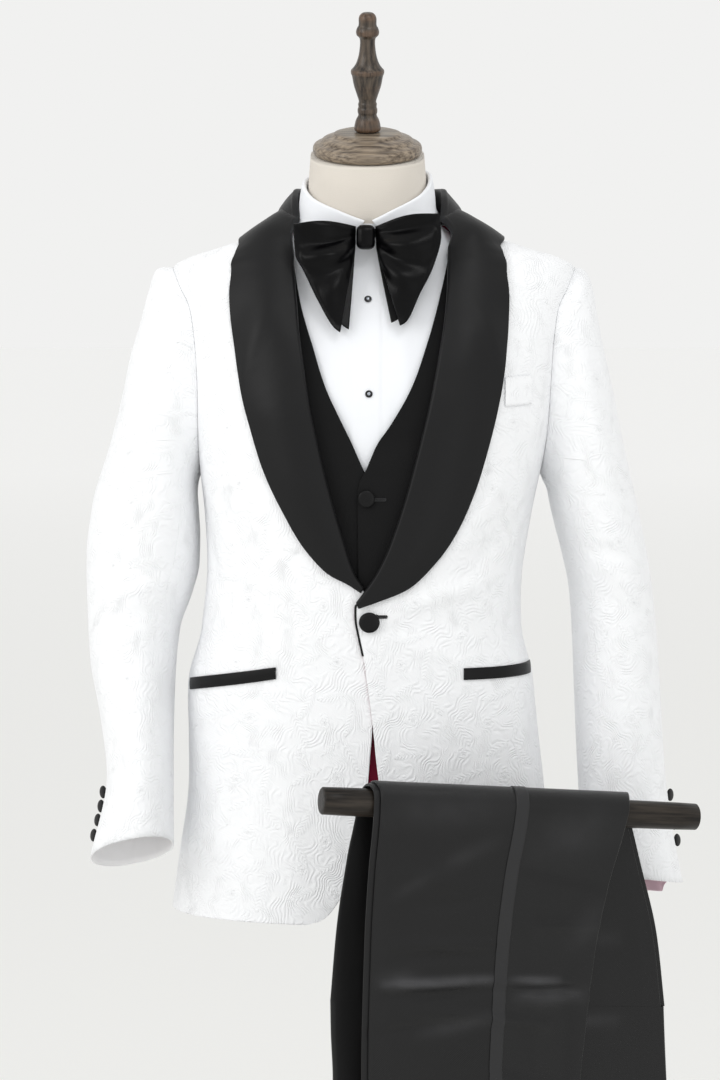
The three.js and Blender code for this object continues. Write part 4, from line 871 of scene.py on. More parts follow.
def shawl_table(side):
    front = SHAWL_LEFT if side > 0 else SHAWL_RIGHT
    front = {
        **front,
        "roll": degrees_at(JACKET, front["rollX"], front["rollZ"]),
        "edge": degrees_at(JACKET, front["edgeX"], front["edgeZ"]),
    }
    neck = {
        **SHAWL_NECK,
        "roll": side * np.minimum(SHAWL_NECK["roll"], CENTRE_BACK),
        "edge": side * np.minimum(SHAWL_NECK["edge"], CENTRE_BACK),
    }
    return numbered({key: np.concatenate([front[key], neck[key]]) for key in SHAWL_KEYS})


SHAWL = {side: shawl_table(side) for side in (1, -1)}


def rows_of(rows, keys, at):
    """All named columns of a table at the given places, each shaped for a grid."""
    return {key: read(rows, key, at, "at") for key in keys}


def collar_span(point, row):
    """Points across a folded collar: a distance from its fold and a lift."""
    start = point(row["roll"], row["rollZ"], 0.0)
    end = point(row["edge"], row["edgeZ"], 0.0)
    width = np.linalg.norm(start - end, axis=-1)

    def span(distance, lift):
        share = distance / width
        degrees = mix(row["roll"], row["edge"], share)
        return point(degrees, mix(row["rollZ"], row["edgeZ"], share), lift)

    return span, width


STAND, FOLD, FALL = range(3)  # the parts of a collar's section


def collar_columns(leg, turns, falls):
    """Collar section: column kind and its value, from the seam over the fold to the edge."""
    stand_up = [(STAND, v) for v in np.linspace(1, 0, leg + 1)[:-1]]
    fold = [(FOLD, v) for v in np.linspace(180, 0, turns)]
    fall = [(FALL, v) for v in np.append(np.linspace(0, 1, falls + 1)[1:-1], [0.99, 1])]
    return np.array(stand_up + fold + fall)


def folded_collar(point, row, sizes, columns, dips=None):
    """Outer and inner grids of a collar that stands up, turns over and falls to its edge."""
    span, width = collar_span(point, row)
    radius = row.get("radius", sizes.get("radius"))
    middle = sizes["base"] + radius
    grids = []
    for depth in (0.0, sizes["cloth"]):
        cells = []
        for kind, value in columns:
            if kind == STAND:
                lift = sizes["base"] + depth + 0 * width
                cells.append(span(mix(radius, row["under"], value), lift))
            elif kind == FOLD:
                across, up = math.sin(math.radians(value)), math.cos(math.radians(value))
                inner = radius - depth
                cells.append(span(radius - inner * across, middle + inner * up))
            else:
                lift = mix(middle + radius, sizes["lift"], value)
                lift = lift + math.sin(math.pi * value) * row["bulge"]
                if dips is not None:
                    lift = lift + dips(value, row)
                cells.append(span(mix(radius, width, value), lift - depth))
        grids.append(np.stack(cells, axis=1))
    return grids


SHAWL_WAVES = ((0.7, 31.0, 1.3), (0.5, 17.0, 1))  # rise, length over tau and shift


def shawl_dips(side):
    """Soft uneven waves in the fall of the shawl collar, as its canvas takes them."""

    def dips(share, row):
        z = row["rollZ"]
        wave = sum(rise * np.sin(z / long + side * shift) for rise, long, shift in SHAWL_WAVES)
        return wave * math.sin(math.pi * share) ** 2

    return dips


def shawl_collar(side):
    name = sided("shawl_collar_", side)
    rows = SHAWL[side]
    at = np.linspace(0, rows["at"][-1], 190)
    row = rows_of(rows, SHAWL_KEYS, at)
    sizes = {"base": -JACKET_CLOTH, "cloth": COLLAR_CLOTH, "lift": COLLAR_LIFT}

    def point(degrees, z, lift):
        return jacket_point(side, degrees, z, lift)

    columns = collar_columns(3, 11, 26)
    outer, inner = folded_collar(point, row, sizes, columns, shawl_dips(side))
    piece = cloth(name, outer, inner, COLLAR_SATIN, roll=0.5)
    wear_piece(piece, "satin", name)
    declare_cut(outer, inner)


def front_inner_edge(side):
    """The front's inner edge: its own edge up to the break, then the seam under the collar."""
    own = FRONT_EDGE_LEFT if side > 0 else FRONT_EDGE_RIGHT
    heights = list(own["z"])
    degrees = list(degrees_at(JACKET, own["x"], own["z"]))
    rows = SHAWL[side]
    row = rows_of(rows, SHAWL_KEYS, np.linspace(0, rows["at"][-1], 45))
    _, width = collar_span(lambda a, b, c: jacket_point(side, a, b, c), row)
    share = (row["under"] + COLLAR_SEAM) / width
    seam_z, seam_turn = (mix(row[a], row[b], share) for a, b in (("rollZ", "edgeZ"), ("roll", "edge")))
    for z, turn in zip(seam_z, seam_turn):
        if abs(turn) < 89 and z > heights[-1] + 2:
            heights.append(z)
            degrees.append(turn)
    return {"z": np.array(heights), "degrees": np.array(degrees)}


FRONT_INNER = {side: front_inner_edge(side) for side in (1, -1)}


def body_panel(side, back, width_of_panel, column, heights):
    """A front or a back: from its inner edge or the centre back seam to the side seam."""
    name = sided("jacket_back_" if back else "jacket_front_", side)

    def place(u, z, depth):
        inner = side * CENTRE_BACK if back else read(FRONT_INNER[side], "degrees", z)
        return jacket_point(side, mix(inner, side_degrees(side, z, back), u), z, -depth)

    cloth_piece(
        name, place, columns_of(width_of_panel, column), heights, JACKET_CLOTH, JACQUARD,
        "jacquard", ["form_torso"], LINING, roll=0.4, flatten=wrapped,
    )


FRONT_HEIGHTS = spaced(
    (787, 800, 1.6), (800, 860, 3), (860, 1262, 4.4), (1262, 1485, 4), (1485, 1530, 2.5)
)
BACK_HEIGHTS = spaced((787, 1262, 5.5), (1262, 1485, 4.5), (1485, 1530, 3))


# Sleeves: the ring's under-arm and outer points from the front, centre, depth and raise.
SLEEVE_COLUMNS = "inX inZ outX outZ y depth raise"
SLEEVE_LEFT = numbered(table(
    SLEEVE_COLUMNS,
    (188, 1263, 221, 1483, 10, 64, 0),
    (190, 1257, 232, 1478, 10, 67, 0),
    (191, 1251, 240, 1462, 11, 70, 0),
    (193, 1244, 246, 1432, 12, 74, 0),
    (195, 1234, 254, 1394, 14, 78, 0),
    (198, 1220, 265, 1348, 16, 81, 0),
    (203, 1200, 279, 1284, 18, 81, 0),
    (211, 1170, 296, 1210, 19, 79, 0.02),
    (219, 1130, 308, 1140, 19, 76, 0.04),
    (222, 1085, 314, 1080, 16, 73, 0.07),
    (224, 1025, 318, 1015, 9, 69, 0.1),
    (226, 965, 321, 953, 0, 65, 0.12),
    (229, 900, 327, 890, -9, 61, 0.13),
    (232, 828, 341, 815, -19, 57, 0.14),
))
SLEEVE_RIGHT = numbered(table(
    SLEEVE_COLUMNS,
    (188, 1263, 221, 1483, 10, 64, 0),
    (189, 1257, 236, 1480, 10, 67, 0),
    (189.5, 1250, 244, 1455, 10, 70, 0),
    (189, 1240, 251, 1421, 10, 74, 0),
    (188, 1228, 260, 1387, 11, 78, 0),
    (187, 1212, 270, 1342, 12, 81, 0),
    (186, 1190, 285, 1288, 14, 82, 0),
    (187, 1160, 304, 1226, 15, 80, 0.03),
    (195, 1128, 310, 1170, 13, 77, 0.08),
    (208, 1090, 308, 1110, 6, 73, 0.15),
    (212, 1045, 304, 1055, -8, 69, 0.22),
    (213, 990, 292, 997, -28, 65, 0.3),
    (212, 930, 283, 930, -52, 61, 0.37),
    (210, 868, 299, 850, -78, 57, 0.42),
))
SLEEVES = {1: SLEEVE_LEFT, -1: SLEEVE_RIGHT}
SLEEVE_END = 13
SLEEVE_SEAMS = table(
    "at front back", (0, -128, 112), (5, -128, 98), (9, -124, 62), (13, -120, 24)
)
SLEEVE_CLOTH = 1.6
SLEEVE_ROWS = spaced((0, 1, 0.1), (1, 4, 0.12), (4, 13, 0.09))
SLEEVE_GAP = 0.14  # degrees, between each cut and the seam
SLEEVE_SHARP = 0.92  # the ring is a little fuller than an ellipse
SET_IN = 4  # rows over which the sleeve leaves the armhole's shape
HEAD_RISE, HEAD_TOP, HEAD_FADE = 1.6, 0.6, 2.4
MM_PER_SLEEVE_DEGREE = 1.15
MM_PER_SLEEVE_ROW = 50.0
# Sleeve folds: ends as degrees round and row along, width and rise.
SLEEVE_FOLDS = {
    1: (
        (-118, 7.0, -40, 7.7, 7, -1.9),
        (-112, 7.4, -50, 8.3, 7, 1.7),
        (-120, 8.1, -60, 8.5, 6, -1.5),
        (-96, 8.9, -34, 9.4, 8, 1.3),
        (-105, 9.6, -52, 9.8, 7, -1.2),
        (-60, 1.2, -44, 5.2, 13, -2.2),
        (-86, 2.4, -66, 6.2, 11, 1.8),
        (-20, 4.4, -8, 7.6, 14, -1.4),
        (26, 1.0, 44, 5.4, 14, -2.2),
        (62, 2.0, 74, 5.8, 11, 1.7),
        (70, 7.2, 120, 6.8, 8, -1.5),
        (64, 8.4, 118, 7.9, 8, 1.3),
        (-30, 11.0, -70, 11.7, 9, -1.2),
        (-90, 11.2, -40, 12.2, 8, 1.2),
        (60, 10.6, 20, 11.8, 10, -1.0),
    ),
    -1: (
        (-120, 7.6, -36, 8.2, 8, -2.2),
        (-118, 8.1, -44, 8.9, 7, 2.0),
        (-122, 8.7, -52, 9.3, 7, -1.9),
        (-110, 9.3, -40, 10.1, 8, 1.5),
        (-100, 10.1, -50, 10.6, 7, -1.2),
        (-58, 1.4, -46, 5.6, 13, -2.2),
        (-84, 2.2, -70, 6.4, 11, 1.8),
        (-18, 4.8, -6, 8.0, 14, -1.5),
        (28, 1.2, 46, 5.6, 14, -2.2),
        (64, 2.2, 76, 6.0, 11, 1.7),
        (72, 8.0, 124, 7.6, 9, -1.8),
        (60, 9.2, 116, 8.8, 8, 1.5),
        (-28, 11.2, -72, 12.0, 9, -1.2),
        (40, 10.4, 12, 11.9, 11, 1.1),
    ),
}


def power(value, exponent):
    return np.sign(value) * np.abs(value) ** exponent


def sleeve_ring(side, row, degrees):
    angle = np.radians(degrees)
    share = (1 + power(np.cos(angle), SLEEVE_SHARP)) / 2
    y = row["y"] + power(np.sin(angle), SLEEVE_SHARP) * row["depth"]
    z = mix(row["inZ"], row["outZ"], share) - row["raise"] * (y - row["y"])
    return points(side * mix(row["inX"], row["outX"], share), y, z)


def first_ring(side, degrees):
    rows = SLEEVES[side]
    return sleeve_ring(side, {key: rows[key][0] for key in SLEEVE_COLUMNS.split()}, degrees)


def armhole_point(side, degrees):
    """The armhole's edge where the sleeve's first ring meets it, on the jacket's face."""
    flat = first_ring(side, degrees)
    limit = ARMHOLE["half_height"] - 0.2
    z = np.clip(flat[..., 2], ARMHOLE["z"] - limit, ARMHOLE["z"] + limit)
    reach = armhole_reach(z, 0)
    y = ARMHOLE["y"] + np.where(flat[..., 1] > ARMHOLE["y"], reach, -reach)
    return section_point(JACKET, side * mirrored(side, z, y), z)


def sleeve_point(side, degrees, at):
    row = rows_of(SLEEVES[side], SLEEVE_COLUMNS.split(), at)
    point = sleeve_ring(side, row, degrees)
    fade = (1 - smooth(at / SET_IN))[..., None]
    return point + (armhole_point(side, degrees) - first_ring(side, degrees)) * fade


def sleeve_lifted(side, degrees, at, lift):
    def surface(a, b):
        return sleeve_point(side, a, b)

    degrees, at = np.broadcast_arrays(np.asarray(degrees, float), np.asarray(at, float))
    v = np.clip(at, 0.06, SLEEVE_END - 0.06)
    centre = (surface(degrees, v) + surface(degrees + 180, v)) / 2
    normal = normal_of(surface, degrees, v, 1.5, 0.05, centre)
    return surface(degrees, at) + normal * np.asarray(lift)[..., None], normal


def sleeve_folds(side, degrees, at):
    turn = (degrees + 180) % 360 - 180
    folds = scaled(SLEEVE_FOLDS[side], MM_PER_SLEEVE_DEGREE, MM_PER_SLEEVE_ROW)
    across, along = turn * MM_PER_SLEEVE_DEGREE, at * MM_PER_SLEEVE_ROW
    ends = smooth(at / 0.8) * (1 - smooth((at - 12.3) / 0.7))
    return soft_lines(folds, across, along) * ends


def sleeve_piece(side, under):
    name = sided("under_sleeve_" if under else "top_sleeve_", side)

    def place(u, at, depth):
        front = read(SLEEVE_SEAMS, "front", at, "at")
        back = read(SLEEVE_SEAMS, "back", at, "at")
        start = back + SLEEVE_GAP if under else front + SLEEVE_GAP
        end = front + 360 - SLEEVE_GAP if under else back - SLEEVE_GAP
        degrees = mix(start, end, u)
        # the sleeve head stands a little proud, as its wadding makes it
        head = HEAD_RISE * smooth(at / HEAD_TOP) * (1 - smooth((at - HEAD_TOP) / HEAD_FADE))
        head = head * (1 + np.cos(np.radians(degrees))) / 2
        lift = sleeve_folds(side, degrees, at) + head - depth
        return sleeve_lifted(side, degrees, at, lift)[0]

    cloth_piece(
        name, place, columns_of(160 if under else 260, 4.4), SLEEVE_ROWS, SLEEVE_CLOTH, JACQUARD,
        "jacquard", [sided("jacket_front_", side)], SLEEVE_LINING[side], roll=0.3,
    )


# The left sleeve's lining hangs out of its cuff: corners by height, front face.
CUFF_LINING = {"start": 296, "end": 328, "y": -22, "top": 838, "cloth": 0.8}
CUFF_LINING_HEM = table("x z", (296, 805), (306, 806), (318, 806), (320, 812), (328, 819))


def cuff_lining():
    def place(u, v, depth):
        x = mix(CUFF_LINING["start"], CUFF_LINING["end"], u)
        z = mix(CUFF_LINING["top"], read(CUFF_LINING_HEM, "z", x, "x"), v)
        fold = 2.2 * np.sin(x / 4.3 + z / 15) * v + 5 * v
        return points(x, CUFF_LINING["y"] - fold + depth, z)

    cloth_piece("cuff_lining_left", place, columns_of(32, 0.8, 0.4), np.linspace(0, 1, 36),
                CUFF_LINING["cloth"], SLEEVE_LINING[1], "satin", ["top_sleeve_left"],
                roll=0.2, stands_for=False)


# The body lining shows dark red in the gap between the fronts.
def front_lining():
    def place(u, z, depth):
        middle = degrees_at(JACKET, 3.0 + 0 * z, z)
        return jacket_point(-1, middle + (u - 0.5) * 22, z, -9 - depth)

    cloth_piece("front_lining", place, columns_of(44, 2.2, 0.5), spaced((880, 1030, 4)), 0.8,
                LINING, "satin", ["jacket_front_right"], roll=0.2, stands_for=False)


# Turned and round pieces.
EASE = 0.22
EASE_PASSES = 2
WEAR_REACH = 7  # either side of a ridge, over which its height is judged
WEAR_RISE = 1.6  # a ridge this proud is worn most


def joined_rings(pairs, cols):
    """Faces between rings of vertices: each pair of rings is joined by a band."""
    faces = []
    for i, n in pairs:
        for j in range(cols):
            k = (j + 1) % cols
            faces.append((i * cols + j, i * cols + k, n * cols + k, n * cols + j))
    return faces


def closed_rings(rows, cols):
    """Faces of rings joined in turn and closed on the two last vertices, low end first."""
    faces = joined_rings([(i, i + 1) for i in range(rows - 1)], cols)
    for j in range(cols):
        k = (j + 1) % cols
        faces.append((rows * cols, k, j))
        faces.append((rows * cols + 1, (rows - 1) * cols + j, (rows - 1) * cols + k))
    return faces


def rounded(profile):
    """A profile with its corners eased, ends kept."""
    line = np.array(profile, float)
    for _ in range(EASE_PASSES):
        a, b = line[:-1], line[1:]
        cut = np.stack([mix(a, b, EASE), mix(a, b, 1 - EASE)], axis=1).reshape(-1, 2)
        line = np.concatenate([line[:1], cut, line[-1:]])
    return line


def stand_matrix(direction):
    return np.array(Vector((0, 0, 1)).rotation_difference(Vector(direction)).to_matrix())


def lathe(name, profile, look, point, direction, sides=64, fibre=(9.0, 9.0, 60.0), worn=0.0):
    """A solid of revolution: profile rows of height and radius, closed on its axis."""
    line = np.asarray(profile, float)
    angle = np.linspace(0, math.tau, sides, endpoint=False)
    ring = np.stack([np.cos(angle), np.sin(angle)], axis=-1)
    xy = line[:, 1][:, None, None] * ring[None]
    z = np.repeat(line[:, 0][:, None], sides, axis=1)
    local = np.concatenate([xy, z[..., None]], axis=-1).reshape(-1, 3)
    ends = np.array([[0, 0, line[0, 0]], [0, 0, line[-1, 0]]])
    local = np.concatenate([local, ends])
    # wear is strongest where the profile stands out from its neighbours
    height, radius = line.T
    near = [(height > h - WEAR_REACH) & (height < h + WEAR_REACH) for h in height]
    around = np.array([radius[close].mean() for close in near])
    proud = worn * np.clip((radius - around) / WEAR_RISE, 0, 1)
    wear = np.append(np.repeat(proud, sides), [0, 0])
    turned = local @ stand_matrix(direction).T + np.array(point)
    faces = closed_rings(len(line), sides)
    piece = mesh_piece(name, turned, faces, looks=[look], marks={"wear": wear})
    grain = piece.data.attributes.new("fibre", "FLOAT_VECTOR", "POINT")
    grain.data.foreach_set("vector", (local / np.array(fibre)).astype(np.float32).ravel())
    return piece


def pill(height, radius, ease):
    """A short cylinder's profile with eased edges."""
    return rounded([
        (0, 0.001), (0, radius - ease), (ease, radius), (height - ease, radius),
        (height, radius - ease), (height, 0.001),
    ])


# Shirt, on the form.
SHIRT_CLOTH = 1.2
SHIRT_LIFT = table("z lift", (1460, 5), (1494, 3.4), (1516, 3))
SHIRT_SIDE = table(
    "z front back",
    (1024, 90, 90), (1285, 90, 90), (1306, 82, 98), (1350, 74, 106), (1400, 70, 110),
    (1440, 71, 109), (1462, 80, 100), (1474, 90, 90), (1527, 90, 90),
)
SHIRT_HEIGHTS = spaced((1024, 1230, 8), (1230, 1530, 4), (1530, 1532, 2))
PLACKET = {"half": 16, "rise": 0.7, "centre": -5}
SHIRT_FOLDS = (
    (-52, 1300, -34, 1420, 9, 0.9),
    (40, 1330, 30, 1450, 9, 0.8),
    (-26, 1250, -14, 1330, 7, 0.6),
    (24, 1262, 14, 1342, 7, 0.6),
    (-60, 1470, -30, 1490, 6, 0.7),
    (58, 1474, 28, 1492, 6, 0.6),
)


def form_seam(z):
    return np.degrees(SEAM / 2 / read(FORM, "width", z))


def shirt_relief(point):
    """The placket stands up down the front, and a few soft folds lie beside it."""
    x, z = point[..., 0], point[..., 2]
    band = smooth((PLACKET["half"] - np.abs(x - PLACKET["centre"])) / 1.2)
    front = smooth(-point[..., 1] / 30)
    return (PLACKET["rise"] * band + soft_lines(SHIRT_FOLDS, x, z)) * front


def shirt_body():
    def front(u, z, depth):
        side = read(SHIRT_SIDE, "front", z) - form_seam(z)
        degrees = mix(-side, side, u)
        base = section_point(FORM, degrees, z)
        return form_point(degrees, z, read(SHIRT_LIFT, "lift", z) - depth + shirt_relief(base))

    def back(u, z, depth):
        side = read(SHIRT_SIDE, "back", z) + form_seam(z)
        return form_point(mix(side, 360 - side, u), z, read(SHIRT_LIFT, "lift", z) - depth)

    rests = ["form_torso"]
    cloth_piece("shirt_front", front, columns_of(400, 3), SHIRT_HEIGHTS, SHIRT_CLOTH, POPLIN,
                "shirt_cotton", rests)
    cloth_piece("shirt_back", back, columns_of(400, 10), SHIRT_HEIGHTS, SHIRT_CLOTH, POPLIN,
                "shirt_cotton", rests)


SHIRT_COLLAR = numbered(table(
    "roll rollZ edge edgeZ under bulge",
    (4, 1537, 24, 1500, 4, 0),
    (12, 1541, 33, 1504, 7, 1),
    (27, 1549, 46, 1513, 13, 1.5),
    (50, 1560, 62, 1522, 25, 2),
    (76, 1570, 80, 1530, 38, 2),
    (108, 1574, 108, 1534, 42, 2),
    (145, 1575, 145, 1536, 43, 2),
    (180, 1575, 180, 1537, 43, 2),
))
SHIRT_COLLAR_ROLL = {"base": 2.1, "radius": 2.5, "cloth": 1.1, "lift": 7}
COLLAR_RISE_LEFT = 7
COLLAR_STITCH = 6  # from the leaf's edge
COLLAR_THREAD = (2.6, 1.9, 0.22)  # pitch, length and radius of a stitch
HOLE_THREAD = (0.55, 1.7, 0.27)


def shirt_collar(side):
    name = sided("shirt_collar_", side)
    keys = ("roll", "rollZ", "edge", "edgeZ", "under", "bulge")
    row = rows_of(SHIRT_COLLAR, keys, np.linspace(0, 7, 120))
    if side > 0:
        row["rollZ"] = row["rollZ"] + COLLAR_RISE_LEFT * np.sin(np.radians(row["roll"]))
    middle = 180 - math.degrees(SEAM / 2 / 60)
    row["roll"] = side * np.minimum(row["roll"], middle)
    row["edge"] = side * np.minimum(row["edge"], middle)
    outer, inner = folded_collar(form_point, row, SHIRT_COLLAR_ROLL, collar_columns(3, 9, 16))
    piece = cloth(name, outer, inner, POPLIN, roll=0.3)
    wear_piece(piece, "shirt_cotton", name)
    declare_cut(outer, inner)
    # stitching a foot's width in from the leaf's edge
    span = np.linalg.norm(outer[:, -1] - outer[:, -8], axis=-1)
    share = np.clip(COLLAR_STITCH / np.maximum(span, 1), 0, 1)[:, None]
    line = mix(outer[:, -1], outer[:, -8], share)[4:]
    away = unit(outer[:, -4] - inner[:, -4])[4:]
    stitches(sided("collar_stitching_", side), line + away * 0.25, COLLAR_THREAD, THREAD_WHITE,
             "shirt_cotton")


# Waistcoat.
WAISTCOAT_LIFT = 10.5
WAISTCOAT_BACK_LIFT = 11.9
WAISTCOAT_LAP = 2.8
WAISTCOAT_FADE = 44
WAISTCOAT_CLOTH = 1.4
WAISTCOAT_V = table(
    "z left right",
    (1042, 2, -7), (1054, -12, 3), (1244, -13, 3), (1256, -11, -1), (1270, -4, -8),
    (1295, 7, -19), (1314, 20, -28), (1352, 42, -46), (1393, 57, -59), (1440, 71, -73),
    (1475, 79, -79), (1500, 82, -81), (1512, 82, -81),
)
WAISTCOAT_SIDE = table(
    "z front back",
    (1042, 90, 90), (1244, 90, 90), (1268, 83, 98), (1310, 72, 110), (1360, 65, 117),
    (1410, 61, 121), (1455, 60, 121), (1482, 66, 114), (1500, 77, 103), (1512, 90, 90),
)
WAISTCOAT_HEIGHTS = spaced((1042, 1060, 2), (1060, 1230, 5), (1230, 1330, 2.4), (1330, 1511, 4))


def waistcoat_point(side, degrees, z, lift):
    near = 1 - smooth(np.abs(degrees) / WAISTCOAT_FADE)
    lap = WAISTCOAT_LAP * near * (1 - smooth((z - 1275) / 30)) if side > 0 else 0.0
    return form_point(degrees, z, WAISTCOAT_LIFT + lap + lift)


def waistcoat():
    def front(side):
        def place(u, z, depth):
            edge = read(WAISTCOAT_V, "left" if side > 0 else "right", z)
            inner = degrees_at(FORM, edge, z)
            outer = side * (read(WAISTCOAT_SIDE, "front", z) - form_seam(z))
            return waistcoat_point(side, mix(inner, outer, u), z, -depth)

        return place

    def back(u, z, depth):
        side = read(WAISTCOAT_SIDE, "back", z) + form_seam(z)
        return form_point(mix(side, 360 - side, u), z, WAISTCOAT_BACK_LIFT - depth)

    for side, name in ((1, "left"), (-1, "right")):
        cloth_piece("waistcoat_front_" + name, front(side), columns_of(210, 4),
                    WAISTCOAT_HEIGHTS, WAISTCOAT_CLOTH, WORSTED, "waistcoat_cloth",
                    ["form_torso"], roll=0.35)
    cloth_piece("waistcoat_back", back, columns_of(420, 12), WAISTCOAT_HEIGHTS, WAISTCOAT_CLOTH,
                TRIM_SATIN, "satin", ["form_torso"])


# Bow tie.
WING_LEFT = table(
    "at x y z",
    (0, 71, -94, 1536), (0.22, 73, -97, 1512), (0.42, 66, -101, 1484),
    (0.7, 50, -107, 1451), (0.92, 37, -112, 1424), (1, 31, -113, 1420),
)
WING_RIGHT = table(
    "at x y z",
    (0, -80, -94, 1525), (0.22, -78, -97, 1494), (0.42, -70, -101, 1478),
    (0.7, -54, -107, 1445), (0.92, -38, -112, 1418), (1, -32, -113, 1413),
)
KNOT = {"x": -5, "y": -76.6, "z": 1512, "width": 21, "height": 26, "depth": 22.2}
WING = {"cloth": 2, "belly": 9, "knot_half": 11, "back_y": 7, "back_tip": 9, "back_top": 3}
# Pleats of a wing: where each leaves the knot and where it dies, as shares, width and rise.
WING_PLEATS = {
    1: ((0.0, 0.6, 1.0, 0.22, 0.1, 5.4), (0.0, 0.28, 0.9, 0.1, 0.07, -4.0),
        (0.1, 0.04, 0.9, 0.0, 0.06, 2.4), (0.15, 0.74, 0.95, 0.44, 0.08, -3.2),
        (0.15, 0.94, 0.9, 0.62, 0.09, 3.4)),
    -1: ((0.0, 0.76, 1.0, 0.28, 0.1, 5.6), (0.0, 0.42, 0.9, 0.13, 0.075, -4.4),
         (0.1, 0.1, 0.95, 0.0, 0.06, 2.6), (0.25, 0.78, 0.95, 0.5, 0.08, -3.0),
         (0.45, 0.86, 0.95, 0.72, 0.09, 2.6)),
}


def wing(side, back):
    name = sided("tie_wing_", side) + ("_back" if back else "")
    rows = WING_LEFT if side > 0 else WING_RIGHT

    def surface(u, v):
        half = WING["knot_half"]
        root = points(
            KNOT["x"] + side * (KNOT["width"] / 2 + SEAM),
            KNOT["y"] - 2 + (4.5 if back else 0),
            KNOT["z"] + mix(half, -half, v),
        )
        end = points(*(read(rows, key, v, "at") for key in "xyz"))
        if back:
            end[..., 0] -= side * mix(WING["back_top"], WING["back_tip"], v)
            end[..., 1] += WING["back_y"]
            end[..., 2] += 3 * v
        point = mix(root, end, u[..., None])
        swell = np.sin(math.pi * np.minimum(1, u * 1.05))
        belly = (0.35 if back else -1) * WING["belly"] * swell
        point[..., 1] += belly * (0.55 + 0.45 * np.sin(math.pi * v))
        point[..., 2] += (1 - v) * 4 * swell
        return point

    def place(u, v, depth):
        near_u, near_v = mix(0.02, 0.98, u), mix(0.02, 0.98, v)
        normal = normal_of(surface, near_u, near_v, 0.01, 0.01, np.array([0, 400, 1400]))
        pleats = 0.0 if back else soft_lines(WING_PLEATS[side], u, v) * smooth((1 - u) / 0.12)
        pleats = pleats * (0.3 + 0.7 * smooth(u / 0.3))
        return surface(u, v) + normal * np.asarray(pleats - depth)[..., None]

    cloth_piece(name, place, columns_of(75, 2.4 if back else 1.4, 0.5), spaced((0, 1, 0.0125)),
                WING["cloth"], VELVET, "velvet", ["tie_knot"], roll=0.7)


KNOT_CREASES = ((0.05, 0.25, 0.16), (0.04, -0.42, 0.13))  # depth, place and width, as shares
KNOT_PINCH = 0.08  # share of its width that the knot loses at its middle


def tie_knot():
    """The knot: a band of velvet pulled round the bow, with creases down it."""
    u, v = np.meshgrid(np.linspace(0, math.tau, 72, endpoint=False), np.linspace(-1, 1, 40)[1:-1])
    tall = np.sin(v * math.pi / 2)
    wide = np.cos(v * math.pi / 2) ** 0.6
    crease = 1
    for deep, at, width in KNOT_CREASES:
        near = np.exp(-(((np.cos(u) * 0.9 - at) / width) ** 2))
        crease = crease - deep * near * (np.sin(u) < 0)
    pinch = 1 - KNOT_PINCH * (1 - np.abs(tall)) ** 2
    x = KNOT["x"] + power(np.cos(u), 0.6) * wide * KNOT["width"] / 2 * pinch
    y = KNOT["y"] + power(np.sin(u), 0.6) * wide * KNOT["depth"] / 2 * crease
    z = KNOT["z"] + power(tall, 0.6) * KNOT["height"] / 2
    verts = points(x, y, z).reshape(-1, 3)
    caps = np.array([[KNOT["x"], KNOT["y"], KNOT["z"] + s * KNOT["height"] / 2] for s in (-1, 1)])
    verts = np.concatenate([verts, caps])
    uv = np.concatenate([np.stack([u * 8, v * 13], -1).reshape(-1, 2), [[0, -13], [0, 13]]])
    piece = mesh_piece("tie_knot", verts, closed_rings(*u.shape), uv, [VELVET])
    wear_piece(piece, "velvet", "tie_knot")


TIE_BAND = {"reach": 17, "below": 17, "half_height": 5, "lift": 5.7, "cloth": 0.9}


def tie_band():
    fold = {"at": SHIRT_COLLAR["roll"], "z": SHIRT_COLLAR["rollZ"]}

    def place(degrees, v, depth):
        z = read(fold, "z", np.abs(degrees), "at") - TIE_BAND["below"] + v * TIE_BAND["half_height"]
        return form_point(degrees, z, TIE_BAND["lift"] - depth)

    reach = TIE_BAND["reach"]
    cloth_piece("tie_band", place, np.linspace(-reach, reach, 25), np.linspace(-1, 1, 9),
                TIE_BAND["cloth"], VELVET, "velvet", ["tie_knot"])


# Trousers over the bar.
BAR = {"start": (-50, -262, 945.5), "end": (341, -132, 906), "radius": 14.6}
BAR_START, BAR_END = (np.array(BAR[key], float) for key in ("start", "end"))
BAR_LINE = unit(BAR_END - BAR_START)
BAR_BACK = unit(np.array([-BAR_LINE[1], BAR_LINE[0], 0.0]))
BAR_UP = -np.cross(BAR_LINE, BAR_BACK)
BAR_UP = BAR_UP * np.sign(BAR_UP[2])
DRAPE_RADIUS = 20
TROUSER_CLOTH = 1.0
LEG_THICKNESS = 2.8
FIRST_LEG = 16.6
LEG_GAP = 0.4
UNDER_LEG_SHIFT = -6
WOOL = (TROUSER_CLOTH_LOOK, "trouser_wool")
LEG = table(
    "at start end stripe",
    (-572, 50, 250, 0.605), (-300, 43, 275, 0.59), (-165, 46, 291, 0.58), (-100, 50, 306, 0.57),
    (-28, 56, 327, 0.562), (-17, 56, 329, 0.56), (-6, 55, 332, 0.56), (6, 54, 336, 0.56),
    (17, 53, 340, 0.56), (28, 52, 344, 0.56), (90, 40, 361, 0.56), (160, 29, 379, 0.56),
    (238, 22, 389.4, 0.56),
)
SEAT = table(
    "at start end stripe",
    (238.1, 16.5, 387.4, 0.56), (270, 17, 389, 0.56), (320, 19, 392, 0.56), (380, 18, 396, 0.56),
    (470, 6, 404, 0.56),
)
WAISTBAND = table("at start end stripe", (470.4, 5.6, 404.4, 0.56), (506, 4, 406, 0.56))
STRIPE = {"half": 7, "lift": 0.9, "cloth": 0.6}
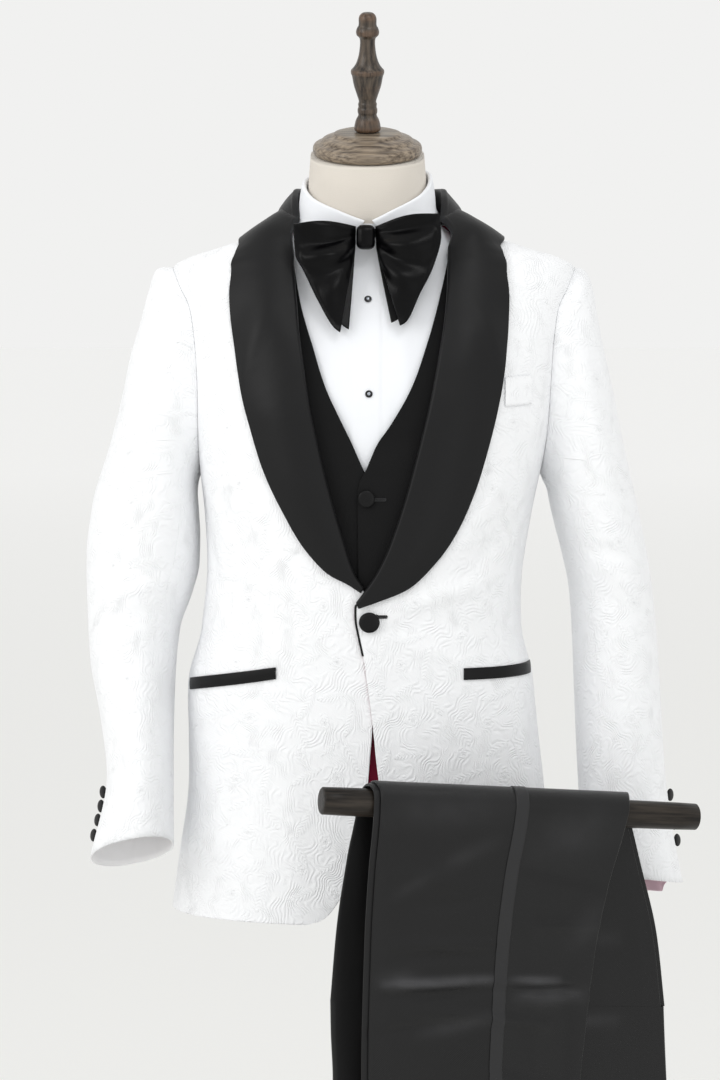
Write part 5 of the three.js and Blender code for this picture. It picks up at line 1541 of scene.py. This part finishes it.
# Creases of the hanging legs, shared by all their layers: ends along the bar and the
# drape, width and rise.
DRAPE_FOLDS = (
    (66, -172, 178, -168, 5, 3.2),
    (70, -184, 172, -180, 5, -3.0),
    (196, -150, 300, -146, 6, 2.8),
    (57, -213, 184, -205, 5, 4.0),
    (194, -206, 262, -205, 5, 3.4),
    (60, -224, 180, -216, 5, -3.2),
    (190, -215, 292, -213, 5, -2.6),
    (200, -226, 284, -221, 6, 2.8),
    (84, -236, 236, -250, 6, 3.4),
    (46, -262, 140, -250, 6, -2.6),
    (150, -300, 260, -322, 7, 3.0),
    (60, -340, 200, -348, 9, -2.2),
    (90, -420, 240, -410, 11, 2.2),
    (70, -96, 150, -110, 7, 2.4),
    (200, -84, 310, -104, 8, -2.2),
    (90, -130, 160, -124, 7, -2.0),
    (214, -60, 236, -420, 12, 1.4),
    (262, -120, 240, -520, 11, -1.6),
    (60, -60, 66, -300, 9, 1.2),
    (60, 150, 360, 170, 9, 1.8),
    (80, 262, 340, 250, 10, -2.0),
    (330, 60, 352, 300, 10, 2.0),
    (40, 80, 36, 330, 10, 1.5),
    (120, 330, 330, 350, 12, 1.6),
)
DRAPE_SWAY = 1.6  # slow swing of the cloth to and fro, full 200 mm below the bar
# Painted highlights along the hanging cloth's crease crests: ends along the bar and the drape, width
# and strength.
DRAPE_PAINTED_SHEEN = (
    (57, -211, 181, -203.5, 4.5, 1.2),
    (197, -204, 250, -203, 4, 0.95),
    (205, -222, 280, -217, 8, 0.5),
    (55, -206, 90, -202, 8, 0.3),
    (69, -121, 108, -99, 6, 0.17),
    (122, -89, 181, -62, 8, 0.2),
    (229, -64, 311, -38, 22, 0.24),
    (268, -163, 297, -130, 12, 0.22),
    (98, -261, 181, -243, 7, 0.3),
    (59, -39, 190, -27, 15, 0.22),
    (60, 150, 330, 168, 8, 0.5),
    (90, 262, 330, 252, 7, 0.6),
    (120, 332, 320, 350, 9, 0.4),
    (80, 100, 200, 84, 10, 0.3),
)


def drape_point(along, at, radius):
    """A point of the drape: distance along the bar, distance down from its top, and radius."""
    quarter = DRAPE_RADIUS * math.pi / 2
    hang = np.maximum(0, np.abs(at) - quarter)
    angle = np.clip(at / quarter, -1, 1) * math.pi / 2
    sway = DRAPE_SWAY * np.sin(along / 34 + at / 190) * smooth(hang / 200)
    reach = radius + (soft_lines(DRAPE_FOLDS, along, at) + sway) * smooth(hang / 40)
    point = BAR_START + BAR_LINE * np.asarray(along)[..., None]
    point = point + BAR_BACK * (np.sin(angle) * reach)[..., None]
    point = point + BAR_UP * (np.cos(angle) * reach)[..., None]
    point[..., 2] -= hang
    return point


TUBE_TURNS = np.linspace(80, -80, 9)
TUBE_SHARES = np.concatenate([[0, 0.006], np.linspace(0, 1, 24)[1:-1], [0.99]])
DRAPE_ROWS = spaced(
    (-572, -272, 5), (-272, -190, 2.8), (-190, -36, 4.4), (-36, 36, 3), (36, 506, 5)
)


def drape_rows(first, last):
    """Rows of a draped piece: the shared ones, so that layers match, and one close to each end."""
    inside = DRAPE_ROWS[(DRAPE_ROWS > first + 1) & (DRAPE_ROWS < last - 1)]
    return np.concatenate([[first, first + 0.3], inside, [last - 0.3, last]])


def drape_lines(rows, crease, at, shift):
    """Where a draped piece's crease and its side seam lie along the bar."""
    low, high = read(rows, "start", at, "at") + shift, read(rows, "end", at, "at") + shift
    return low if crease == "start" else high, mix(low, high, read(rows, "stripe", at, "at"))


def tube_half(name, rows, start, thickness, crease, shift, look, slot):
    """A flattened tube's half, seam to seam, round one crease."""
    half = thickness / 2
    middle = start + half
    first, last = rows["at"].min(), rows["at"].max()
    ats = drape_rows(first, last)
    sign = -1 if crease == "start" else 1

    def layer(at, depth):
        fold, seam = drape_lines(rows, crease, at, shift)
        seam = seam + sign * SEAM / 2
        end = fold - sign * half
        inner = half - depth
        cells = [drape_point(mix(seam, end, s), at, middle + inner) for s in TUBE_SHARES]
        for turn in np.radians(TUBE_TURNS):
            out, up = math.cos(turn) * inner, math.sin(turn) * inner
            cells.append(drape_point(end + sign * out, at, middle + up))
        cells += [drape_point(mix(seam, end, s), at, middle - inner) for s in TUBE_SHARES[::-1]]
        return np.stack(cells, axis=1)

    outer, inner = layer(ats, 0.0), layer(ats, TROUSER_CLOTH)
    piece = cloth(name, outer, inner, look, roll=0.2)
    shares = np.concatenate([TUBE_SHARES, np.ones(len(TUBE_TURNS)), TUBE_SHARES[::-1]])
    fold, seam = drape_lines(rows, crease, ats, shift)
    along = mix(seam[:, None], fold[:, None], shares)
    # painted highlight on the crease crests, carried by a vertex attribute
    wear_and_painted_sheen = np.clip(soft_lines(DRAPE_PAINTED_SHEEN, along, ats[:, None]), 0, 1).ravel()
    mark = piece.data.attributes.new("wear_and_painted_sheen", "FLOAT", "POINT")
    spare = np.zeros(len(piece.data.vertices) - 2 * wear_and_painted_sheen.size)
    mark.data.foreach_set("value", np.concatenate([wear_and_painted_sheen, wear_and_painted_sheen, spare]).astype(np.float32))
    wear_piece(piece, slot, name)
    declare_cut(outer, inner)


def stripe(name, face, outward, shift):
    rows = {key: np.concatenate([LEG[key], SEAT[key]]) for key in LEG}

    def place(u, at, depth):
        centre = drape_lines(rows, "start", at, shift)[1]
        radius = face + outward * (STRIPE["lift"] - depth)
        return drape_point(centre + u * STRIPE["half"], at, radius)

    cloth_piece(name, place, np.linspace(-1, 1, 9), drape_rows(-572, 470), STRIPE["cloth"],
                STRIPE_SATIN, "satin", ["bar"])


def trousers():
    upper = FIRST_LEG + LEG_THICKNESS + LEG_GAP
    whole = LEG_THICKNESS * 2 + LEG_GAP
    for crease, name in (("start", "front"), ("end", "back")):
        for piece, rows, start, thick, shift, look, slot, rests_on in (
            ("trouser_leg_left_", LEG, upper, LEG_THICKNESS, 0, *WOOL, "bar"),
            ("trouser_leg_right_", LEG, FIRST_LEG, LEG_THICKNESS, UNDER_LEG_SHIFT, *WOOL, "bar"),
            ("trouser_seat_", SEAT, FIRST_LEG, whole, 0, *WOOL, "bar"),
            ("waistband_", WAISTBAND, FIRST_LEG, whole, 0, TRIM_SATIN, "satin",
             "trouser_seat_" + name),
        ):
            tube_half(piece + name, rows, start, thick, crease, shift, look, slot)
    stripe("trouser_stripe_left", FIRST_LEG + whole, 1, 0)
    stripe("trouser_stripe_right", FIRST_LEG, -1, 0)


# Pocket welts.
WELTS = (
    # name, side, ends of the centre line, half height, look and slot
    ("hip_welt_left", 1, (98, 1053.5), (171, 1053), 6, TRIM_SATIN, "satin"),
    ("hip_welt_right", -1, (-99.5, 1054), (-193, 1034), 6, TRIM_SATIN, "satin"),
    ("breast_welt", 1, (140, 1350), (169, 1352), 15, JACQUARD, "jacquard"),
)
WELT_LIFT = 2
WELT_GAP = 0.5


def welt(name, side, start, end, half, look, slot):
    def place(u, v, depth):
        z = mix(start[1], end[1], u) + v * half
        degrees = mix(degrees_at(JACKET, start[0], z), degrees_at(JACKET, end[0], z), u)
        pad = 0.5 * np.cos(v * math.pi / 2)
        return jacket_point(side, degrees, z, WELT_LIFT + pad - depth * (1 + pad / 2))

    cloth_piece(name, place, columns_of(90, 2.2), np.linspace(-1, 1, 11), WELT_LIFT - WELT_GAP,
                look, slot, [sided("jacket_front_", side)], roll=0.3)


# Buttons, studs and their buttonholes.
BUTTON_GAP = 0.5
CUFF_BUTTON_LIFT = 3.6
CUFF_BUTTON_LEAN = 40
CUFF_BUTTON_TURN = 8.0  # degrees round the sleeve from its outer line
CUFF_BUTTON_ROWS = {1: (12.44, 12.2, 11.97, 11.74), -1: (12.68, 12.49, 12.31, 12.12)}


def leaned(normal, degrees):
    """A direction leaned forwards, to -Y, by an angle."""
    front = np.array([0.0, -1.0, 0.0])
    front = unit(front - normal * (normal @ front))
    return normal * math.cos(math.radians(degrees)) + front * math.sin(math.radians(degrees))


def surface_place(surface, u, v):
    """A point of a surface and its outward normal there."""
    u, v = np.array([float(u)]), np.array([float(v)])
    normal = normal_of(surface, u, v, 0.5, 0.8, np.array([0.0, 0.0, v[0]]))
    return surface(u, v)[0], normal[0]


HOLE_EYE = 1.9  # radius of a buttonhole's round end
HOLE_HALF = 0.95  # half the width of its slot


def covered_button(name, point, normal, radius, height):
    """A cloth-covered button: a soft dome whose cover is gathered under its edge."""
    dome = [(0, 0.001), (0, radius * 0.72), (height * 0.32, radius * 0.97), (height * 0.55, radius),
            (height * 0.8, radius * 0.88), (height * 0.95, radius * 0.55), (height, 0.001)]
    piece = lathe(name, rounded(dome), TRIM_SATIN, point, normal, 40)
    layer = piece.data.uv_layers.new(name="grain")
    loops = np.empty(len(piece.data.loops), np.int32)
    piece.data.loops.foreach_get("vertex_index", loops)
    flat = np.empty(len(piece.data.vertices) * 3, np.float32)
    piece.data.vertices.foreach_get("co", flat)
    layer.data.foreach_set("uv", flat.reshape(-1, 3)[loops][:, [0, 2]].ravel())
    wear_piece(piece, "satin", name)


def stitch_tree():
    """Geometry nodes: threads laid at a pitch along a path, along it or across it."""
    tree = bpy.data.node_groups.new("stitches_along_a_path", "GeometryNodeTree")
    sockets = {}
    tree.interface.new_socket("Geometry", in_out="OUTPUT", socket_type="NodeSocketGeometry")
    tree.interface.new_socket("Geometry", in_out="INPUT", socket_type="NodeSocketGeometry")
    for label, kind in (
        ("Pitch", "NodeSocketFloat"), ("Stitch Length", "NodeSocketFloat"),
        ("Thread Radius", "NodeSocketFloat"), ("Across", "NodeSocketFloat"),
        ("Thread", "NodeSocketMaterial"),
    ):
        socket = tree.interface.new_socket(label, in_out="INPUT", socket_type=kind)
        sockets[label] = socket.identifier
    given, result = add_node(tree, "NodeGroupInput"), add_node(tree, "NodeGroupOutput")
    path = add_node(tree, "GeometryNodeMeshToCurve", Mesh=given.outputs["Geometry"])
    even = add_node(
        tree, "GeometryNodeResampleCurve", mode="LENGTH", Curve=path, Length=given.outputs["Pitch"]
    )
    thread = add_node(
        tree, "GeometryNodeMeshCylinder", Vertices=6, Side_Segments=1, Fill_Segments=1,
        Radius=given.outputs["Thread Radius"], Depth=given.outputs["Stitch Length"],
    )
    tangent = add_node(tree, "GeometryNodeInputTangent")
    up = add_node(
        tree, "GeometryNodeInputNamedAttribute", data_type="FLOAT_VECTOR", Name="up"
    )
    facing = add_node(tree, "VectorMath CROSS_PRODUCT", tangent, up)
    way = add_node(tree, "Mix", given.outputs["Across"], _4=tangent, _5=facing, data_type="VECTOR")
    turned = add_node(
        tree, "FunctionNodeAlignRotationToVector", axis="Z", Vector=way.outputs[1]
    )
    laid = add_node(
        tree, "GeometryNodeInstanceOnPoints", Points=even, Instance=thread, Rotation=turned
    )
    real = add_node(tree, "GeometryNodeRealizeInstances", laid)
    dressed = add_node(
        tree, "GeometryNodeSetMaterial", Geometry=real, Material=given.outputs["Thread"]
    )
    tree.links.new(dressed.outputs[0], result.inputs[0])
    return tree, sockets


STITCH_TREE, STITCH_INPUTS = stitch_tree()


def stitches(name, line, sizes, thread, slot, across=0.0, up=(0, -1, 0)):
    """A run of stitches along a line of points: sizes are pitch, length and radius."""
    mesh = bpy.data.meshes.new(name + "_path")
    edges = [(i, i + 1) for i in range(len(line) - 1)]
    mesh.from_pydata((np.asarray(line) * MM).tolist(), edges, [])
    mark = mesh.attributes.new("up", "FLOAT_VECTOR", "POINT")
    mark.data.foreach_set("vector", np.tile(np.array(up, np.float32), len(line)))
    carrier = bpy.data.objects.new(name + "_path", mesh)
    bpy.context.collection.objects.link(carrier)
    modifier = carrier.modifiers.new("stitches", "NODES")
    modifier.node_group = STITCH_TREE
    values = (*(size * MM for size in sizes), across, thread)
    for label, value in zip(STITCH_INPUTS, values):
        modifier[STITCH_INPUTS[label]] = value
    graph = bpy.context.evaluated_depsgraph_get()
    made = bpy.data.meshes.new_from_object(carrier.evaluated_get(graph))
    bpy.data.objects.remove(carrier)
    piece = bpy.data.objects.new(name, made)
    made.name = name
    bpy.context.collection.objects.link(piece)
    wear_piece(piece, slot)


def buttonhole(name, surface, u, z, length, slot):
    """A worked buttonhole: close stitches round a slot that ends in a round eye."""
    start, normal = surface_place(surface, u, z)
    along = unit(np.cross(np.array([0, 0, 1.0]), normal))
    eye = np.radians(np.linspace(30, 330, 24))
    eye = np.stack([-HOLE_EYE * np.cos(eye), HOLE_EYE * np.sin(eye)], axis=-1)
    end, other = (length, HOLE_HALF), (length, -HOLE_HALF)
    outline = np.concatenate([[end], eye, [other, end]])
    line = start + normal * 0.3 + outline[:, :1] * along + outline[:, 1:] * np.array([0, 0, 1.0])
    stitches(name, line, HOLE_THREAD, THREAD_BLACK, slot, 1.0, tuple(normal))


def fastenings():
    def jacket_left(degrees, z):
        return jacket_point(1, degrees, z, 0.0)

    def waistcoat_left(degrees, z):
        return waistcoat_point(1, degrees, z, 0.0)

    for name, surface, degrees, z, radius, height in (
        ("front_button", jacket_left, 6.2, 1110, 11, 6),
        ("waistcoat_button", waistcoat_left, -2, 1240, 9, 4),
    ):
        point, normal = surface_place(surface, degrees, z)
        covered_button(name, point + normal * BUTTON_GAP, normal, radius, height)
    buttonhole("front_buttonhole", jacket_left, 9.4, 1115.5, 11, "satin")
    buttonhole("waistcoat_buttonhole", waistcoat_left, 1.6, 1239, 13, "waistcoat_cloth")
    for side, rows in CUFF_BUTTON_ROWS.items():
        for i, at in enumerate(rows):
            at = np.array([at])
            lift = sleeve_folds(side, np.array([CUFF_BUTTON_TURN]), at) + CUFF_BUTTON_LIFT
            point, normal = sleeve_lifted(side, CUFF_BUTTON_TURN, at, lift)
            face = leaned(normal[0], CUFF_BUTTON_LEAN)
            name = "%s_%d" % (sided("cuff_button_", side), i + 1)
            covered_button(name, point[0], face, 7, 3.6)
    for name, degrees, z in (("stud_upper", -3.4, 1444), ("stud_lower", -1.8, 1347)):
        def shirt(a, b):
            return form_point(a, b, read(SHIRT_LIFT, "lift", b) + PLACKET["rise"])

        point, normal = surface_place(shirt, degrees, z)
        rim = lathe(name, pill(1.7, 3.9, 0.7), ONYX, point + normal * 0.2, normal, 40)
        wear_piece(rim, "stud", name)
        dome = [(0, 0.001), (0, 1.9), (0.5, 1.8), (1.0, 1.2), (1.2, 0.001)]
        centre = lathe(name + "_centre", rounded(dome), PLATED, point + normal * 1.75, normal, 32)
        wear_piece(centre, "stud")
    # the facing's satin edge shows down the left front below the collar
    z = np.linspace(1129, 1074, 40)
    edge = read(FRONT_INNER[1], "degrees", z)
    outer = np.stack([jacket_left(edge + a, z) for a in (-0.7, -0.35, 0.0, 0.3)], axis=1)
    away = unit(outer - points(0, 0, z)[:, None])
    taper = np.linspace(1, 0.4, 40)[:, None, None]
    face, back = outer + away * 0.7 * taper, outer - away * 0.9
    binding = cloth("facing_edge", face, back, COLLAR_SATIN, roll=0.2)
    wear_piece(binding, "satin")
    declare_cut(outer, outer)


# Dress form and stand.
NECK_CAP = (
    (0, 0.001), (0, 55), (3, 58.6), (9, 58.6), (12.5, 56.5), (14, 51), (18, 48), (20, 42.5),
    (21, 38), (25, 34.5), (25, 0.001),
)
FINIAL = (
    (0, 0.001), (0, 15), (12, 13), (18, 9.5), (21, 10.6), (24.5, 10.6), (26.5, 9.6), (30, 10.2),
    (32.5, 8.9), (41, 11.8), (50, 14.8), (60, 16.5), (62.5, 17.8), (66, 17.8), (68, 15.5),
    (73, 12), (82, 9.2), (94, 7.8), (100, 8.3), (103, 12), (107, 12.4), (111, 11), (113, 9.3),
    (122, 9.6), (126.5, 6), (127, 0.001),
)
NECK_TIP = math.atan(0.29)
BASE = (
    (0, 0.001), (0, 184), (4, 190), (18, 190), (25, 180), (28, 60), (34, 30), (40, 24), (40, 0.001),
)
CLAMP = {"z": 350, "height": 44, "radius": 24}
POLE_RADIUS = 13
ROD_RADIUS = 8
POST_AT = 0.46  # share of the bar's length
SEAT_GAP = 0.3
FORM_INSET = 3.5
NECK_ROUND = 62  # radius that the linen's weave is laid round, right at the neck
POST_DROP = 0.8  # more room under the bar, because the post meets it off square
EDGE_EASE = 1.5  # of the clamp's corners


def form_torso():
    """The padded torso and neck in one linen cover, closed top and bottom."""
    heights = spaced((1012, 1490, 8), (1490, 1602, 3))
    around = np.linspace(180, 540, 120, endpoint=False)
    degrees, z = np.meshgrid(around, heights)
    inset = -FORM_INSET * (1 - smooth((z - 1490) / 30))
    grid = form_point(degrees, z, inset)
    ends = [grid[0].mean(axis=0), grid[-1].mean(axis=0)]
    verts = np.concatenate([grid.reshape(-1, 3), ends])
    uv = np.stack([np.radians(degrees) * NECK_ROUND, z], axis=-1).reshape(-1, 2)
    uv = np.concatenate([uv, [[0, heights[0]], [0, heights[-1]]]])
    piece = mesh_piece("form_torso", verts, closed_rings(*grid.shape[:2]), uv, [LINEN])
    wear_piece(piece, "linen", "form_torso")


def stand_and_bar():
    top = FORM["z"][-1]
    neck = points(read(FORM, "x", top), read(FORM, "y", top), top)
    tip = np.array([0.0, -math.sin(NECK_TIP), math.cos(NECK_TIP)])
    cap_at = neck + tip * SEAT_GAP
    finial_at = cap_at + tip * (NECK_CAP[-1][0] + SEAT_GAP)
    wooden = (
        ("neck_cap", CAP_WOOD, rounded(NECK_CAP), cap_at, tip, (110.0, 3.4, 2.4), 0.25),
        ("finial", WOOD, rounded(FINIAL), finial_at, tip, (4.0, 4.0, 60.0), 0.8),
        ("base", WOOD, rounded(BASE), (0, 0, 0), (0, 0, 1), (80.0, 80.0, 8.0), 0.2),
        ("bar", BAR_WOOD, pill(np.linalg.norm(BAR_END - BAR_START), BAR["radius"], 2.4),
         BAR_START, BAR_LINE, (5.0, 5.0, 90.0), 0.0),
    )
    for name, look, profile, point, line, fibre, worn in wooden:
        wear_piece(lathe(name, profile, look, point, line, 72, fibre, worn), "dark_wood", name)
    post_top = mix(BAR_START, BAR_END, POST_AT)
    foot = post_top * (1, 1, 0) + np.array([0, 0, CLAMP["z"]])
    outward = unit(foot * (1, 1, 0))
    post_top[2] -= BAR["radius"] + SEAT_GAP + POST_DROP
    post_seat = foot + np.array([0, 0, ROD_RADIUS + SEAT_GAP])
    arm_start = np.array([0, 0, CLAMP["z"]]) + outward * (CLAMP["radius"] - 0.1)
    arm_end = foot + outward * ROD_RADIUS
    pole_start = np.array([0, 0, BASE[-1][0] + SEAT_GAP])
    pole_end = np.array([0, 0, FORM["z"][0] - SEAT_GAP])
    for name, start, end, radius in (
        ("pole", pole_start, pole_end, POLE_RADIUS),
        ("bar_post", post_seat, post_top, ROD_RADIUS),
        ("bar_arm", arm_start, arm_end, ROD_RADIUS),
    ):
        length = np.linalg.norm(end - start)
        rod = lathe(name, pill(length, radius, 1.0), STEEL, start, unit(end - start), 48)
        wear_piece(rod, "black_metal", name)
    half, outer = CLAMP["height"] / 2, CLAMP["radius"]
    inner = POLE_RADIUS + SEAT_GAP
    ring = [(-half, inner), (-half, outer - EDGE_EASE), (EDGE_EASE - half, outer),
            (half - EDGE_EASE, outer), (half, outer - EDGE_EASE), (half, inner)]
    collar = tube(ring, 48, np.array([0, 0, CLAMP["z"]]))
    wear_piece(mesh_piece("pole_clamp", *collar, looks=[STEEL]), "black_metal", "pole_clamp")


def tube(ring, sides, centre):
    """A ring of a closed section, turned round the pole."""
    angle = np.linspace(0, math.tau, sides, endpoint=False)
    height, radius = np.array(ring).T[:, :, None]
    verts = points(radius * np.cos(angle), radius * np.sin(angle), height).reshape(-1, 3)
    rings = len(ring)
    return verts + centre, joined_rings([(i, (i + 1) % rings) for i in range(rings)], sides)


for side in (1, -1):
    body_panel(side, False, 230, 3.8, FRONT_HEIGHTS)
    body_panel(side, True, 225, 5.5, BACK_HEIGHTS)
    shawl_collar(side)
    sleeve_piece(side, False)
    sleeve_piece(side, True)
    shirt_collar(side)
    wing(side, False)
    wing(side, True)
cuff_lining()
front_lining()
shirt_body()
waistcoat()
tie_knot()
tie_band()
for sizes in WELTS:
    welt(*sizes)
fastenings()
trousers()
form_torso()
stand_and_bar()


# Floor, light and camera, as in the photo: a pale room with soft daylight from the left.
# painted shade near the stand and painted light far off: the floor's colour goes by distance
FLOOR_NEAR, FLOOR_FAR = (0.9, 0.9, 0.885, 1), (0.995, 0.995, 0.99, 1)
CAMERA = {"place": (-0.011, -2.9, 1.4), "down": 4.2, "lens": 89, "sensor": 36}


def floor_plane():
    """A pale floor with painted shade, slightly darker close to the stand, and painted light far off,
    so that it fades into the pale room.
    """
    bpy.ops.mesh.primitive_plane_add(size=3000)
    plane = bpy.context.object
    plane.name = "floor"
    look, tree, shader = new_material("pale_floor", Roughness=0.9, Specular_IOR_Level=0.1)
    spot = add_node(tree, "TexCoord").outputs["Object"]
    away = add_node(tree, "VectorMath LENGTH", spot).outputs["Value"]
    far = add_node(tree, "MapRange", Value=away, From_Min=1.0, From_Max=26.0)
    coloured(tree, shader, far, FLOOR_NEAR, FLOOR_FAR)
    plane.data.materials.append(look)


def soft_light(name, place, aim, size, watts, tint):
    lamp = bpy.data.lights.new(name, "AREA")
    lamp.size, lamp.energy, lamp.color = size, watts, tint
    carrier = bpy.data.objects.new(name, lamp)
    carrier.location = place
    carrier.rotation_euler = (Vector(aim) - Vector(place)).to_track_quat("-Z", "Y").to_euler()
    bpy.context.collection.objects.link(carrier)


def pale_room():
    room = bpy.data.worlds.new("pale_room")
    room.use_nodes = True
    back = room.node_tree.nodes["Background"]
    back.inputs["Color"].default_value = srgb("#f1f1f0")
    back.inputs["Strength"].default_value = 1.0
    bpy.context.scene.world = room


def camera():
    lens = bpy.data.cameras.new("camera")
    lens.lens, lens.sensor_width = CAMERA["lens"], CAMERA["sensor"]
    carrier = bpy.data.objects.new("camera", lens)
    carrier.location = CAMERA["place"]
    carrier.rotation_euler = (math.radians(90 - CAMERA["down"]), 0, 0)
    bpy.context.collection.objects.link(carrier)
    bpy.context.scene.camera = carrier


floor_plane()
soft_light("window_left", (-2.2, -1.7, 2.4), (0, 0, 1.2), 1.5, 22, (1.0, 0.995, 0.985))
soft_light("skylight", (0.5, -1.7, 3.0), (0.1, -0.2, 0.8), 0.7, 8, (1.0, 1.0, 1.0))
soft_light("fill_right", (1.4, -2.6, 0.9), (0.1, 0, 0.95), 1.6, 4, (0.96, 0.98, 1.0))
pale_room()
camera()
bpy.context.scene.view_settings.view_transform = "Standard"
